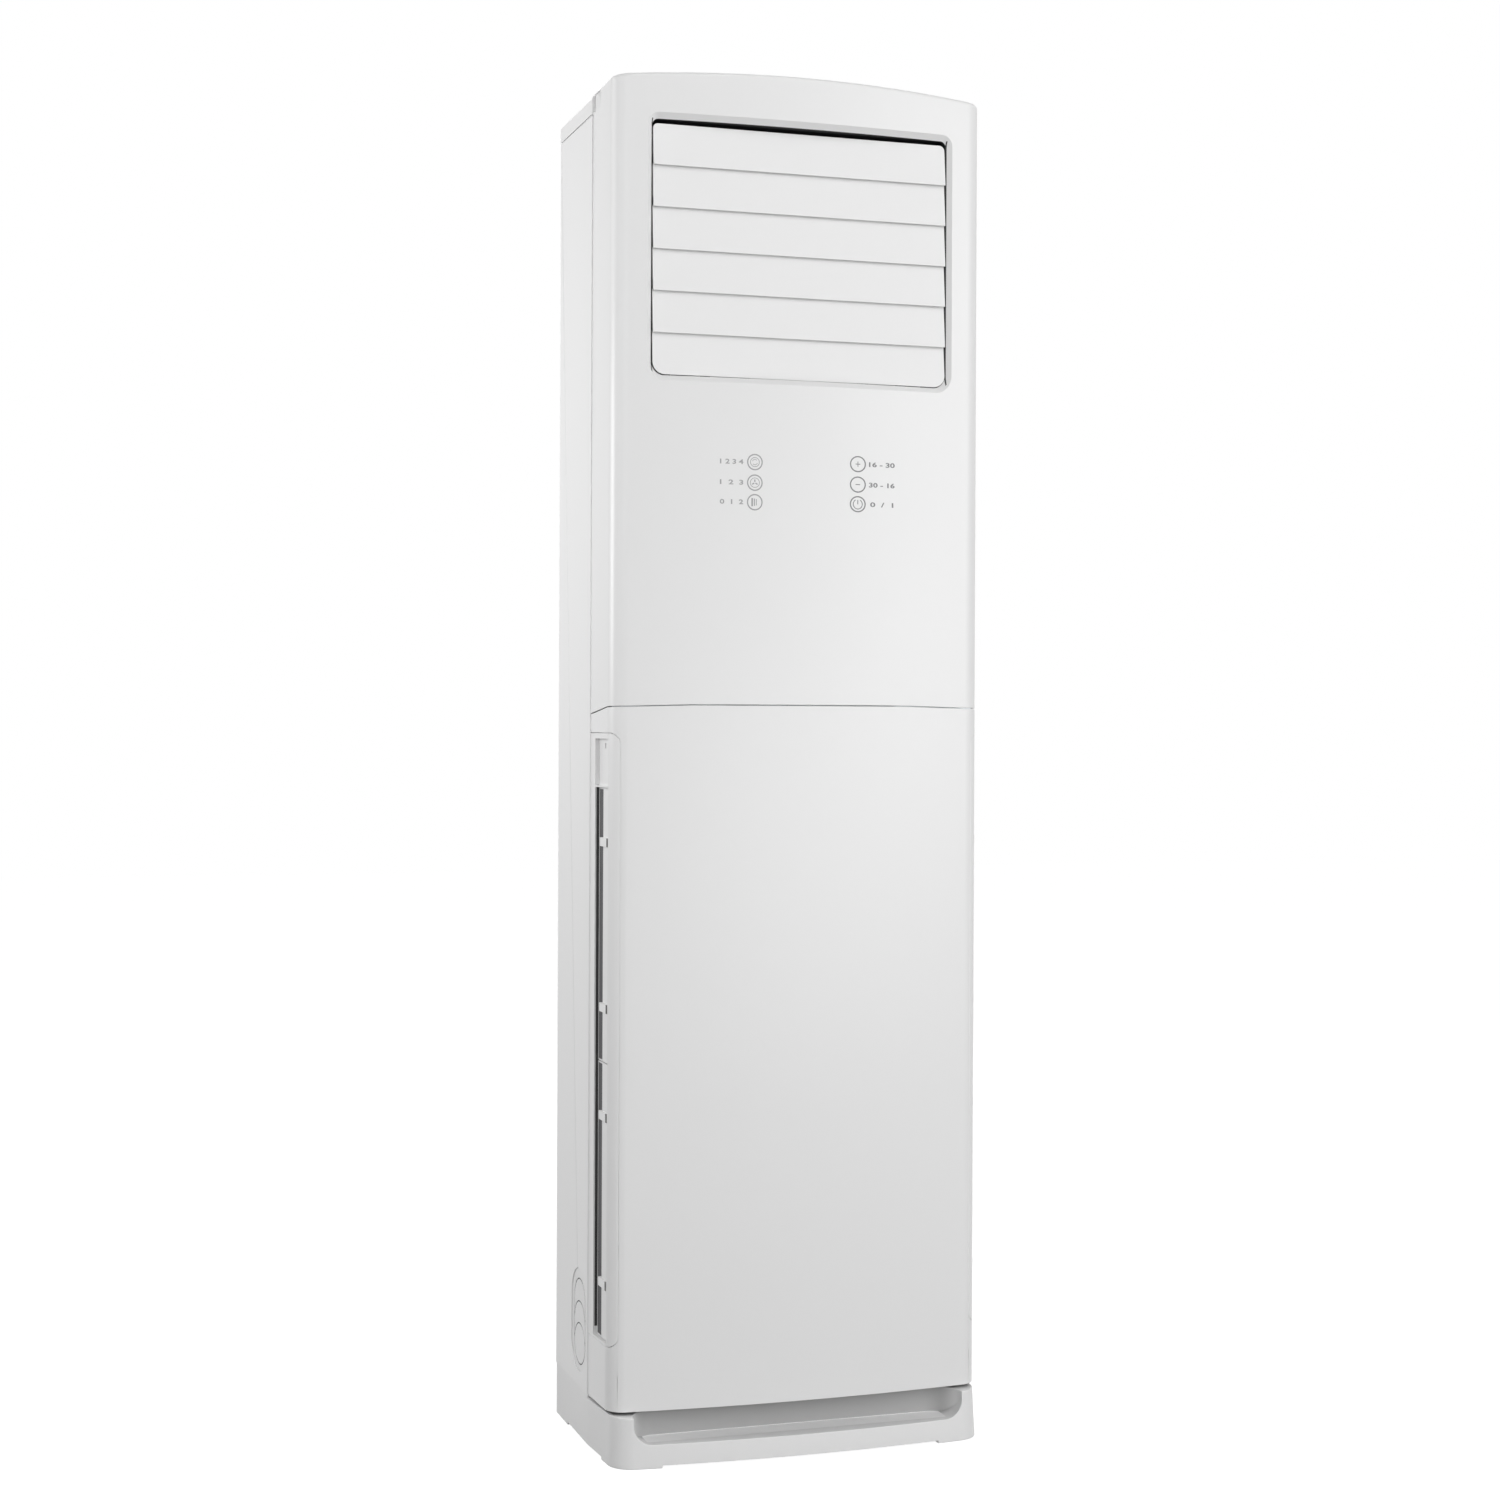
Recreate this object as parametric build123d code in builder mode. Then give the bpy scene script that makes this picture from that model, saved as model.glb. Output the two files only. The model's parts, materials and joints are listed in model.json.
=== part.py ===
"""Floor-standing air conditioner: the indoor unit of a split system.

A white cabinet with a bowed two-piece front. The upper panel holds the air outlet,
closed by six shingled louvre blades, and the touch marks. The lower panel holds an
intake frame with two pull-out filters on each flank. A centrifugal blower in the
lower cabinet pushes air up through an inclined evaporator and out of the front.

Frame: millimetres, +Z up, the front faces -Y, origin on the floor under the middle.
"""
import math
import os

from build123d import *

os.makedirs("parts", exist_ok=True)

# ---------------------------------------------------------------- driving dimensions
# Overall
height = 1750.0  # floor to the crown of the upper panel
depth = 300.0  # front lip of the base to the back sheet
cabinet_width = 505.6  # over the side sheets
foot_height = 3.6
touch = 0.3  # gap between parts that seat on each other without pressing

# Front shell
base_lip = 20.0  # how far the base stands out in front of the panels
panel_depth = 105.8  # front face to the joint with the rear cabinet
panel_corner_inset = 5.5  # front corners inside the cabinet's sides
panel_rear_inset = 1.3  # rear edges of the flanks inside the cabinet's sides
panel_bow = 13.8  # how much the middle of the face stands forward of its ends
panel_corner_radius = 23.6
panel_wall = 2.8
upper_panel_height = 798.8  # crown to the joint with the lower panel
seam_dip = 5.5  # how far that joint falls towards the rear of the flanks
seam_gap = 1.4
crown_drop = 10.4  # how much lower the top edge is at the corners
crown_fall = 6.1  # how much the top falls from the face to the rear of the panel
crown_edge_radius = 5.0

# Outlet
outlet_side_margin = 54.8  # cabinet's side to the edge of the opening
outlet_top_margin = 64.0  # crown to the edge of the opening
outlet_height = 321.4
outlet_top_radius = 8.0
outlet_bottom_radius = 16.5
outlet_bevel = 7.0
outlet_flange = 9.0  # width of the thick rim round the opening
outlet_flange_depth = 22.0  # rim's rear face behind the face of the panel

# Louvres
louvre_count = 6
louvre_bottom_gap = 1.0
louvre_top_gap = 5.04
louvre_end_gap = 1.2
louvre_lap = 2.0  # how far each blade reaches up behind the one above
louvre_thickness = 2.4
louvre_setback = 12.0  # lower edge of a blade behind the face of the panel
louvre_lean = 5.5  # upper edge further back than the lower edge
louvre_pivot_setback = 30.0  # pivots behind the face of the panel
pivot_pin_diameter = 5.0
running_clearance = 0.05  # radial
crank_radius = 14.0
crank_angle = 40.0  # of the crank above the horizontal with the louvres shut
crank_pin_diameter = 4.0
lever_thickness = 3.0
link_width = 8.0
link_thickness = 3.0

# Vertical vanes
vane_count = 7
vane_end_gap = 36.0  # outer vanes to the edges of the opening
vane_pivot_setback = 80.0
vane_chord_front = 18.0
vane_chord_rear = 20.0
vane_thickness = 2.0

# Outlet frame
duct_wall = 3.0
duct_side_gap = 1.5  # duct wall outside the edge of the opening
duct_floor_gap = 3.5
duct_roof_gap = 2.5
duct_flange_gap = 11.3  # rear flange inside the cabinet's sides

# Flank intakes
intake_bottom = 146.5
intake_top_gap = 35.7  # under the joint of the panels
intake_front_setback = 14.5  # front edge of the frame behind the face of the panel
intake_end_radius = 12.0
intake_seam = 0.5
channel_front_setback = 30.0
channel_rear_setback = 85.0
channel_bottom_gap = 3.5
channel_top_gap = 7.5
channel_floor_inset = 7.6  # shallow floor inside the cabinet's side
shallow_channel_height = 61.5
pocket_floor_inset = 16.8  # floor behind the filters inside the cabinet's side
channel_wall = 2.2
catch_hole_setback = 50.6  # behind the face of the panel
catch_hole_drop = 9.0  # under the top of the channel
catch_hole_width = 4.0
catch_hole_height = 7.0
filter_clearance = 0.6
filter_split_rise = 0.75  # of the joint between the filters above the middle of the opening
filter_skin = 3.0
filter_rim = 2.0
filter_window_setback = 63.6  # front edge of the mesh window behind the panel's face
filter_rail = 1.6
filter_mesh_thickness = 0.8
tab_length = 37.0
tab_height = 11.0
tab_reach = 3.4
lower_tab_distances = (71.5, 67.0)  # from the ends of the lower filter's place
upper_tab_distances = (69.5, 69.0)

# Sheet metal cabinet
sheet = 1.2
base_top = 67.3
side_flange = 15.6
cap_drop = 20.5  # top cover under the crown
cap_height = 21.0
cap_wall = 2.4
cap_edge_radius = 3.0
ear_height = 22.2
ear_reach = 37.0
ear_inset = 4.2  # ears inside the cabinet's sides
back_field_side_margin = 52.8
back_field_bottom_margin = 122.7
back_field_top_margin = 98.5
back_field_depth = 4.0
back_field_corner_radius = 20.0
lip_end_gap = 20.0  # ends of the turned lips inside the side sheets

# Base
base_inset = 0.3  # base inside the cabinet's sides
base_front_inset = 7.2  # front corners inside the base's own sides
base_draft = 3.0  # degrees, of the front and its corners
base_bow = 16.0
base_corner_radius = 32.0
base_rear_radius = 6.0
base_front_step = 4.7  # front part of the base lower than the rear part
base_wall = 4.0
foot_length = 68.0
scoop_end_margin = 32.5
scoop_floor = 29.5
scoop_depth = 54.0
scoop_corner_radius = 24.0
scoop_end_radius = 36.0
pan_sheet = 1.5
pan_front_setback = 42.0
pan_lip = 12.0

# Pipe knock-out in the left side
knockout_bottom = 86.5
knockout_top = 219.9
knockout_width = 81.0
knockout_front_offset = 4.2  # from the cabinet's front edge
knockout_plate = 2.6
knockout_flange = 2.4
knockout_arc_radius = 29.0
knockout_arc_bottom = 94.8
knockout_arc_tops = (206.9, 177.7, 149.2)
groove_width = 1.6
groove_depth = 0.9

# Blower
wheel_height = 400.0
volute_side_gap = 22.8  # widest part of the scroll inside the cabinet's side
volute_rear_gap = 28.0
volute_depth = 140.0
scroll_growth = 65.0  # widest part of the scroll outside the wheel
scroll_cutoff_gap = 13.0  # narrowest part of the scroll outside the wheel
wheel_front_gap = 10.0
wheel_rear_gap = 16.0
wheel_blade_depth = 25.0
wheel_blades = 36
wheel_blade_thickness = 1.6
wheel_web = 2.5
wheel_ring_height = 15.0
hub_radius = 17.0
hub_recess = 80.0  # front of the hub ahead of the rear of the wheel
hub_length = 24.0
dish_clearance = 30.0  # radial, round the motor
shaft_diameter = 12.0
nut_across_flats = 19.0
nut_height = 9.0
volute_wall = 2.0
scroll_start_angle = 110.0
volute_inlet_gap = 1.0  # round the bell in the front plate
motor_hole_clearance = 26.0  # radial, round the dished web
bell_flange_width = 37.0
bell_throat_gap = 7.0  # radial, inside the blades
bell_depth = 20.0
motor_radius = 62.0
motor_front_gap = 4.0
mount_lap = 20.0  # radial, round the hole in the rear plate
volute_foot_width = 60.0
volute_foot_spacing = 180.0

# Deck, drain pan and evaporator
deck_drop = 70.6  # under the joint of the panels
deck_lip = 12.0
drain_pan_front_setback = 32.0
drain_pan_length = 76.0
drain_pan_side_gap = 17.8
drain_pan_corner_radius = 8.0
drain_pan_wall = 2.4
drain_pan_height = 23.0
coil_side_gap = 40.8
coil_length = 460.0
coil_thickness = 38.0
coil_front_setback = 54.6  # the coil leans across all the depth between these two
coil_rear_gap = 10.6
coil_groove_pitch = 14.0
coil_groove_width = 10.6
coil_groove_depth = 17.4
end_plate = 1.5
end_plate_margin = 3.0
tube_diameter = 9.5
bend_radius = 10.5
bend_count = 8

# Air guide and inner cover
liner_wall = 8.0
liner_drop = 29.6  # under the opening
liner_corner_radius = 90.0
cover_setback = 46.0
cover_side_gap = 13.0
cover_sheet = 1.2

# Frame rail behind the panel joint
rail_setback = 30.0
rail_side_gap = 10.4
rail_height = 24.0
rail_thickness = 2.0

# Electrics
box_width = 320.0
box_rise = 48.8  # above the joint of the panels
box_top_gap = 12.0  # under the touch board
box_depth = 34.0
box_standoff = 6.0
board_thickness = 1.6
board_side_margin = 20.0
board_end_margin = 12.0
standoff_inset = 9.0
standoff_radius = 3.0
terminal_length = 50.0
terminal_width = 24.0
terminal_inset = 35.0
low_row_rise = 33.0
transformer_width = 42.0
transformer_height = 36.0
transformer_inset = 45.0
high_row_drop = 48.0
relay_length = 18.0
relay_width = 15.0
relay_pitch = 24.0
processor_size = 36.0
capacitor_radius = 13.0
tall_part_height = 18.0
low_part_height = 12.0
stepper_diameter = 28.0
stepper_length = 19.0
stepper_ear_spacing = 35.0
stepper_ear_diameter = 7.0
touch_board_width = 210.0
touch_board_height = 84.0
touch_board_drop = 130.6  # its middle under the opening
touch_board_setback = 7.1  # behind the middle of the panel's face
boss_setback = 3.5

# Pipes
gas_pipe_diameter = 15.88
liquid_pipe_diameter = 9.52
drain_hose_diameter = 20.0
drain_hose_wall = 2.0
drain_hose_inset = 31.8
drain_hose_offset = 2.0  # ahead of the middle of the drain pan
drain_hose_end_z = 118.0
pipe_inset = 20.8
pipe_bend_radius = 16.0
gas_pipe_offset = 20.0  # behind the middle of the coil
liquid_pipe_offset = 10.0  # ahead of it
pipe_end_z = 152.0
flare_nut_height = 22.0
gas_nut_across_flats = 27.0
liquid_nut_across_flats = 17.0
header_diameter = 14.0
header_bottom_along = -90.0
header_top_along = 170.0
gas_branch_along = -60.0
liquid_branch_along = -120.0
stub_pitch = 36.0

# ---------------------------------------------------------------- derived places
front_y = -depth / 2 + base_lip
back_y = depth / 2
junction_y = front_y + panel_depth
half_cabinet = cabinet_width / 2
inner_side_x = half_cabinet - sheet
panel_width = cabinet_width - 2 * panel_corner_inset
panel_rear_width = cabinet_width - 2 * panel_rear_inset
panel_rear_y = junction_y - touch
panel_bottom = base_top - touch
seam_height = height - upper_panel_height
shell_reach = 2 * cabinet_width

base_width = cabinet_width - 2 * base_inset
base_front_top = base_top - base_front_step
scoop_width = base_width - 2 * scoop_end_margin
pan_front_y = front_y + pan_front_setback
cap_top = height - cap_drop
cap_bottom = cap_top - cap_height
ear_half_width = half_cabinet - ear_inset

outlet_width = cabinet_width - 2 * outlet_side_margin
outlet_top = height - outlet_top_margin
outlet_bottom = outlet_top - outlet_height
outlet_middle = (outlet_top + outlet_bottom) / 2
rim_rear_y = front_y + outlet_flange_depth
duct_front_y = rim_rear_y + touch
duct_rear_y = junction_y - touch
duct_half = outlet_width / 2 + duct_side_gap
duct_bottom = outlet_bottom - duct_floor_gap
duct_top = outlet_top + duct_roof_gap
louvre_pitch = (outlet_height - louvre_bottom_gap - louvre_top_gap) / louvre_count
louvre_y = front_y + louvre_setback
louvre_pivot_y = front_y + louvre_pivot_setback
vane_pivot_y = front_y + vane_pivot_setback
blade_half = outlet_width / 2 - louvre_end_gap
touch_board_y = front_y + touch_board_setback
touch_board_z = outlet_bottom - touch_board_drop

intake_top = seam_height - intake_top_gap
channel_bottom = intake_bottom + channel_bottom_gap
channel_top = intake_top - channel_top_gap
filter_opening_top = channel_top - shallow_channel_height
filter_split = (channel_bottom + filter_opening_top) / 2 + filter_split_rise
channel_floor_x = half_cabinet - channel_floor_inset
pocket_floor_x = half_cabinet - pocket_floor_inset

volute_rear_y = back_y - volute_rear_gap
volute_front_y = volute_rear_y - volute_depth
scroll_end_radius = half_cabinet - volute_side_gap
wheel_radius = scroll_end_radius - scroll_growth
scroll_start_radius = wheel_radius + scroll_cutoff_gap
wheel_inlet_radius = wheel_radius - wheel_blade_depth
wheel_front_y = volute_front_y + wheel_front_gap
wheel_rear_y = volute_rear_y - wheel_rear_gap
bell_throat_radius = wheel_inlet_radius - bell_throat_gap
bell_outer_radius = bell_throat_radius + bell_flange_width
hub_front_y = wheel_rear_y - hub_recess
motor_front_y = hub_front_y + hub_length + motor_front_gap
dish_radius = motor_radius + dish_clearance
volute_motor_hole_radius = dish_radius + motor_hole_clearance
mount_radius = volute_motor_hole_radius + mount_lap

deck_top = seam_height - deck_drop
drain_pan_front_y = front_y + drain_pan_front_setback
drain_pan_rear_y = drain_pan_front_y + drain_pan_length
drain_pan_middle_y = (drain_pan_front_y + drain_pan_rear_y) / 2
drain_pan_width = cabinet_width - 2 * drain_pan_side_gap
drain_hose_x = drain_hose_inset - half_cabinet
drain_hose_y = drain_pan_middle_y - drain_hose_offset

coil_width = cabinet_width - 2 * coil_side_gap
coil_front_y = front_y + coil_front_setback
coil_rear_y = back_y - coil_rear_gap
coil_centre_y = (coil_front_y + coil_rear_y) / 2
coil_diagonal = math.hypot(coil_length, coil_thickness)
tilt = math.asin((coil_rear_y - coil_front_y) / coil_diagonal) - math.atan2(coil_thickness, coil_length)
pipe_x = pipe_inset - half_cabinet
gas_pipe_y = coil_centre_y + gas_pipe_offset
liquid_pipe_y = coil_centre_y - liquid_pipe_offset

liner_bottom = outlet_bottom - liner_drop
cover_y = front_y + cover_setback
cover_half_width = half_cabinet - cover_side_gap
rail_y = front_y + rail_setback
rail_half_width = half_cabinet - rail_side_gap
box_bottom = seam_height + box_rise
box_height = touch_board_z - touch_board_height / 2 - box_top_gap - box_bottom


# ---------------------------------------------------------------- shared shapes
def shell_plan(inset=0.0, rear_y=panel_rear_y):
    """Plan of the front shell: bowed face, rounded corners, flanks widening rearwards."""
    half_front = panel_width / 2 - inset
    half_rear = panel_rear_width / 2 - inset
    corner_y = front_y + panel_bow + inset
    with BuildSketch() as plan:
        with BuildLine():
            ThreePointArc((-half_front, corner_y), (0, front_y + inset), (half_front, corner_y))
            Polyline(
                (half_front, corner_y), (half_rear, rear_y), (-half_rear, rear_y), (-half_front, corner_y)
            )
        make_face()
        fillet(plan.vertices().group_by(Axis.Y)[0], panel_corner_radius - inset)
    return plan.sketch


def crown_elevation(drop=0.0):
    """Elevation of everything under the crowned top edge, a little in front of the face."""
    lead = 5.0
    top = crown_edge_height - drop + lead * math.tan(crown_slope)
    ends = top - crown_drop * (half_cabinet / (panel_width / 2)) ** 2
    with BuildSketch(Plane.XZ.offset(lead - front_y)) as elevation:
        with BuildLine():
            ThreePointArc((-half_cabinet, ends), (0, top), (half_cabinet, ends))
            Polyline(
                (half_cabinet, ends), (half_cabinet, 0), (-half_cabinet, 0), (-half_cabinet, ends)
            )
        make_face()
    return elevation.sketch


def shell_block(inset, rear_y):
    """Everything inside the front shell, from the floor to the crown."""
    with BuildPart() as block:
        with BuildSketch(Plane.XY):
            add(shell_plan(inset, rear_y))
        extrude(amount=height + crown_drop)
        extrude(
            crown_elevation(inset), amount=panel_depth + 4 * base_lip, dir=crown_direction,
            mode=Mode.INTERSECT,
        )
    return block.part


def seam_side(offset, top):
    """Side elevation of the lower (or, with top=True, the upper) side of the panel joint."""
    level = seam_height + offset
    corner_end_y = front_y + panel_bow + panel_corner_radius
    limit = height + 50 if top else -50
    with BuildSketch(Plane.YZ.offset(-shell_reach / 2)) as side:
        with BuildLine():
            Polyline(
                (front_y - 50, level), (corner_end_y, level), (junction_y + 1, level - seam_dip),
                (junction_y + 1, limit), (front_y - 50, limit), (front_y - 50, level),
            )
        make_face()
    return side.sketch


def outlet_elevation(grow=0.0, square=False):
    """The outlet opening seen from the front."""
    with BuildSketch(Plane.XZ.offset(-front_y)) as opening:
        with Locations((0, outlet_middle)):
            Rectangle(outlet_width + 2 * grow, outlet_height + 2 * grow)
        if not square:
            fillet(opening.vertices().group_by(Axis.Y)[0], outlet_bottom_radius)
            fillet(opening.vertices().group_by(Axis.Y)[-1], outlet_top_radius)
    return opening.sketch


def base_plan(inset=0.0, lean=0.0):
    """Plan of the base: bowed front, flanks widening rearwards, front drawn back by the lean."""
    half_rear = base_width / 2 - inset
    half_front = half_rear - base_front_inset - lean
    lip_y = -depth / 2 + inset + lean
    rear_y = back_y - inset
    with BuildSketch() as plan:
        with BuildLine():
            ThreePointArc(
                (-half_front, lip_y + base_bow), (0, lip_y), (half_front, lip_y + base_bow)
            )
            Polyline(
                (half_front, lip_y + base_bow), (half_rear, junction_y), (half_rear, rear_y),
                (-half_rear, rear_y), (-half_rear, junction_y), (-half_front, lip_y + base_bow),
            )
        make_face()
        fillet(plan.vertices().group_by(Axis.Y)[0], base_corner_radius - inset)
        if base_rear_radius > inset:
            fillet(plan.vertices().group_by(Axis.Y)[-1], base_rear_radius - inset)
    return plan.sketch


def flank_region(clearance):
    """Side elevation of an intake frame: rounded front corners, square at the rear."""
    front = front_y + intake_front_setback - clearance
    with BuildSketch(Plane.YZ) as region:
        with BuildLine():
            Polyline(
                (front, intake_bottom - clearance), (junction_y + 5, intake_bottom - clearance),
                (junction_y + 5, intake_top + clearance), (front, intake_top + clearance),
                (front, intake_bottom - clearance),
            )
        make_face()
        fillet(region.vertices().group_by(Axis.X)[0], intake_end_radius)
    return region.sketch


def scroll_point(angle, extra=0.0):
    """Point of the blower's scroll, whose radius grows evenly with the angle."""
    turn = (angle - scroll_start_angle) / (360.0 - scroll_start_angle)
    radius = scroll_start_radius + turn * (scroll_end_radius - scroll_start_radius) + extra
    return (
        radius * math.cos(math.radians(angle)),
        wheel_height + radius * math.sin(math.radians(angle)),
    )


def scroll_elevation(plane, extra=0.0, top=0.0):
    """Scroll and outlet throat of the blower housing, seen from the front."""
    start = scroll_start_angle
    tongue = scroll_point(start, extra)
    side = scroll_point(360, extra)
    with BuildSketch(plane) as outline:
        with BuildLine():
            ThreePointArc(tongue, scroll_point((start + 180) / 2, extra), scroll_point(180, extra))
            ThreePointArc(
                scroll_point(180, extra), scroll_point(225, extra), scroll_point(270, extra)
            )
            ThreePointArc(scroll_point(270, extra), scroll_point(315, extra), side)
            Polyline(side, (side[0], top), (tongue[0], top), tongue)
        make_face()
    return outline.sketch


crown_slope = math.atan(crown_fall / panel_depth)
# the sharp edge that the rounding takes off stood a little higher than the crown
crown_edge_height = height + crown_edge_radius * (
    math.tan(crown_slope) + 1 / math.cos(crown_slope) - 1
)
crown_direction = (0, math.cos(crown_slope), -math.sin(crown_slope))

# ---------------------------------------------------------------- base
scoop_back_y = -depth / 2 + scoop_depth

with BuildPart() as scoop:
    with BuildSketch(Plane.XZ.offset(depth)) as scoop_front:
        with Locations((0, scoop_floor)):
            Rectangle(scoop_width, base_top, align=(Align.CENTER, Align.MIN))
        fillet(scoop_front.vertices().group_by(Axis.Y)[0], scoop_corner_radius)
    extrude(amount=-2 * depth)
    with BuildSketch() as scoop_floor_plan:
        with Locations((0, scoop_back_y)):
            Rectangle(scoop_width, depth, align=(Align.CENTER, Align.MAX))
        fillet(scoop_floor_plan.vertices().group_by(Axis.Y)[-1], scoop_end_radius)
    extrude(amount=height, mode=Mode.INTERSECT)

with BuildPart() as base_tray:
    with BuildSketch(Plane.XY.offset(foot_height + base_wall)):
        add(base_plan(2 * base_wall))
    extrude(amount=base_top)
    with BuildSketch(Plane.XY):
        with Locations((0, scoop_back_y + base_wall)):
            Rectangle(shell_reach, depth, align=(Align.CENTER, Align.MIN))
    extrude(amount=height, mode=Mode.INTERSECT)

with BuildPart() as base_plinth:
    with BuildSketch(Plane.XY.offset(foot_height)):
        add(base_plan())
    with BuildSketch(Plane.XY.offset(base_top)):
        add(base_plan(lean=(base_top - foot_height) * math.tan(math.radians(base_draft))))
    loft(ruled=True)
    # the front steps down, so the lower panel hangs clear of it
    with BuildSketch(Plane.XY.offset(base_front_top)):
        with Locations((0, junction_y)):
            Rectangle(shell_reach, depth, align=(Align.CENTER, Align.MAX))
    extrude(amount=base_top, mode=Mode.SUBTRACT)
    add(scoop.part, mode=Mode.SUBTRACT)
    add(base_tray.part, mode=Mode.SUBTRACT)
    # one moulded foot under each corner
    with BuildSketch(Plane.XY):
        add(base_plan())
    extrude(amount=foot_height)
    with BuildSketch(Plane.XY):
        Rectangle(base_width - 2 * foot_length, shell_reach)
        Rectangle(shell_reach, depth - 2 * foot_length)
    extrude(amount=foot_height, mode=Mode.SUBTRACT)
base_plinth.part.label = "base_plinth"
export_step(base_plinth.part, "parts/base_plinth.step")

with BuildPart() as base_pan:
    pan_rear_y = back_y - 2 * sheet - touch
    pan_shoulder_y = junction_y + sheet + touch
    with BuildSketch(Plane.XY.offset(base_top)):
        with Locations((0, pan_shoulder_y)):
            Rectangle(
                2 * (inner_side_x - touch), pan_rear_y - pan_shoulder_y,
                align=(Align.CENTER, Align.MIN),
            )
            Rectangle(
                panel_width - 8 * panel_wall, pan_shoulder_y - pan_front_y,
                align=(Align.CENTER, Align.MAX),
            )
    extrude(amount=pan_sheet)
    with BuildSketch(Plane.XY.offset(base_top)):
        with Locations((0, pan_rear_y)):
            Rectangle(
                2 * (inner_side_x - touch - lip_end_gap), pan_sheet, align=(Align.CENTER, Align.MAX)
            )
    extrude(amount=pan_lip)
base_pan.part.label = "base_pan"
export_step(base_pan.part, "parts/base_pan.step")

# ---------------------------------------------------------------- side, back and top sheets
knockout_height = knockout_top - knockout_bottom
knockout_y = junction_y + knockout_front_offset + knockout_width / 2
knockout_z = (knockout_top + knockout_bottom) / 2
side_height = cap_bottom - touch - base_top


def side_section():
    """Plan of the left side sheet: a flat wall with a flange folded in at each end."""
    rear_y = back_y - sheet
    with BuildSketch(Plane.XY.offset(base_top)) as section:
        with BuildLine():
            Polyline(
                (-half_cabinet, junction_y), (-half_cabinet + side_flange, junction_y),
                (-half_cabinet + side_flange, junction_y + sheet), (-inner_side_x, junction_y + sheet),
                (-inner_side_x, rear_y - sheet), (-half_cabinet + side_flange, rear_y - sheet),
                (-half_cabinet + side_flange, rear_y), (-half_cabinet, rear_y),
                (-half_cabinet, junction_y),
            )
        make_face()
    return section.sketch


def knockout_outline(plane, grow):
    """Stadium outline of the pipe knock-out on the left side."""
    with BuildSketch(plane) as outline:
        with Locations((knockout_y, knockout_z)):
            SlotOverall(knockout_height + 2 * grow, knockout_width + 2 * grow, rotation=90)
    return outline.sketch


with BuildPart() as left_side_panel:
    extrude(side_section(), amount=side_height)
    extrude(knockout_outline(Plane.YZ.offset(-half_cabinet), 0.0), amount=2 * sheet, mode=Mode.SUBTRACT)
left_side_panel.part.label = "left_side_panel"
export_step(left_side_panel.part, "parts/left_side_panel.step")

with BuildPart() as right_side_panel:
    extrude(side_section(), amount=side_height)
    mirror(about=Plane.YZ, mode=Mode.REPLACE)
right_side_panel.part.label = "right_side_panel"
export_step(right_side_panel.part, "parts/right_side_panel.step")

with BuildPart() as pipe_knockout:
    outer_face = Plane.YZ.offset(-inner_side_x)
    extrude(knockout_outline(outer_face, knockout_flange), amount=knockout_plate)
    # score lines of the three knock-outs: one closed, two arches inside it
    score_height = knockout_arc_tops[0] - knockout_arc_bottom
    with BuildSketch(outer_face):
        with Locations((knockout_y, knockout_arc_bottom + score_height / 2)):
            SlotOverall(score_height, 2 * knockout_arc_radius, rotation=90)
            SlotOverall(
                score_height - 2 * groove_width, 2 * (knockout_arc_radius - groove_width),
                rotation=90, mode=Mode.SUBTRACT,
            )
    extrude(amount=groove_depth, mode=Mode.SUBTRACT)
    for arch_top in knockout_arc_tops[1:]:
        with BuildSketch(outer_face):
            with Locations((knockout_y, arch_top - knockout_arc_radius)):
                Circle(knockout_arc_radius)
                Circle(knockout_arc_radius - groove_width, mode=Mode.SUBTRACT)
                Rectangle(
                    3 * knockout_arc_radius, 2 * knockout_arc_radius,
                    align=(Align.CENTER, Align.MAX), mode=Mode.SUBTRACT,
                )
        extrude(amount=groove_depth, mode=Mode.SUBTRACT)
pipe_knockout.part.label = "pipe_knockout"
export_step(pipe_knockout.part, "parts/pipe_knockout.step")

with BuildPart() as back_panel:
    back_sheet_width = cabinet_width - 4 * touch
    with BuildSketch(Plane.XZ.offset(-back_y + sheet)):
        with Locations((0, (base_top + cap_bottom) / 2)):
            Rectangle(back_sheet_width, side_height - 2 * touch)
    extrude(amount=-sheet)
    # one large pressed-in field stiffens the sheet
    back_field_width = cabinet_width - 2 * back_field_side_margin
    field_bottom = base_top + back_field_bottom_margin
    field_top = cap_bottom - back_field_top_margin
    field_middle = (field_top + field_bottom) / 2
    field_height = field_top - field_bottom
    field_radius = back_field_corner_radius
    with BuildSketch(Plane.XZ.offset(-back_y + back_field_depth + sheet)):
        with Locations((0, field_middle)):
            RectangleRounded(
                back_field_width + 2 * sheet, field_height + 2 * sheet, field_radius + sheet
            )
    extrude(amount=-back_field_depth)
    with BuildSketch(Plane.XZ.offset(-back_y + back_field_depth)):
        with Locations((0, field_middle)):
            RectangleRounded(back_field_width, field_height, field_radius)
    extrude(amount=-2 * back_field_depth, mode=Mode.SUBTRACT)
back_panel.part.label = "back_panel"
export_step(back_panel.part, "parts/back_panel.step")

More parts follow.
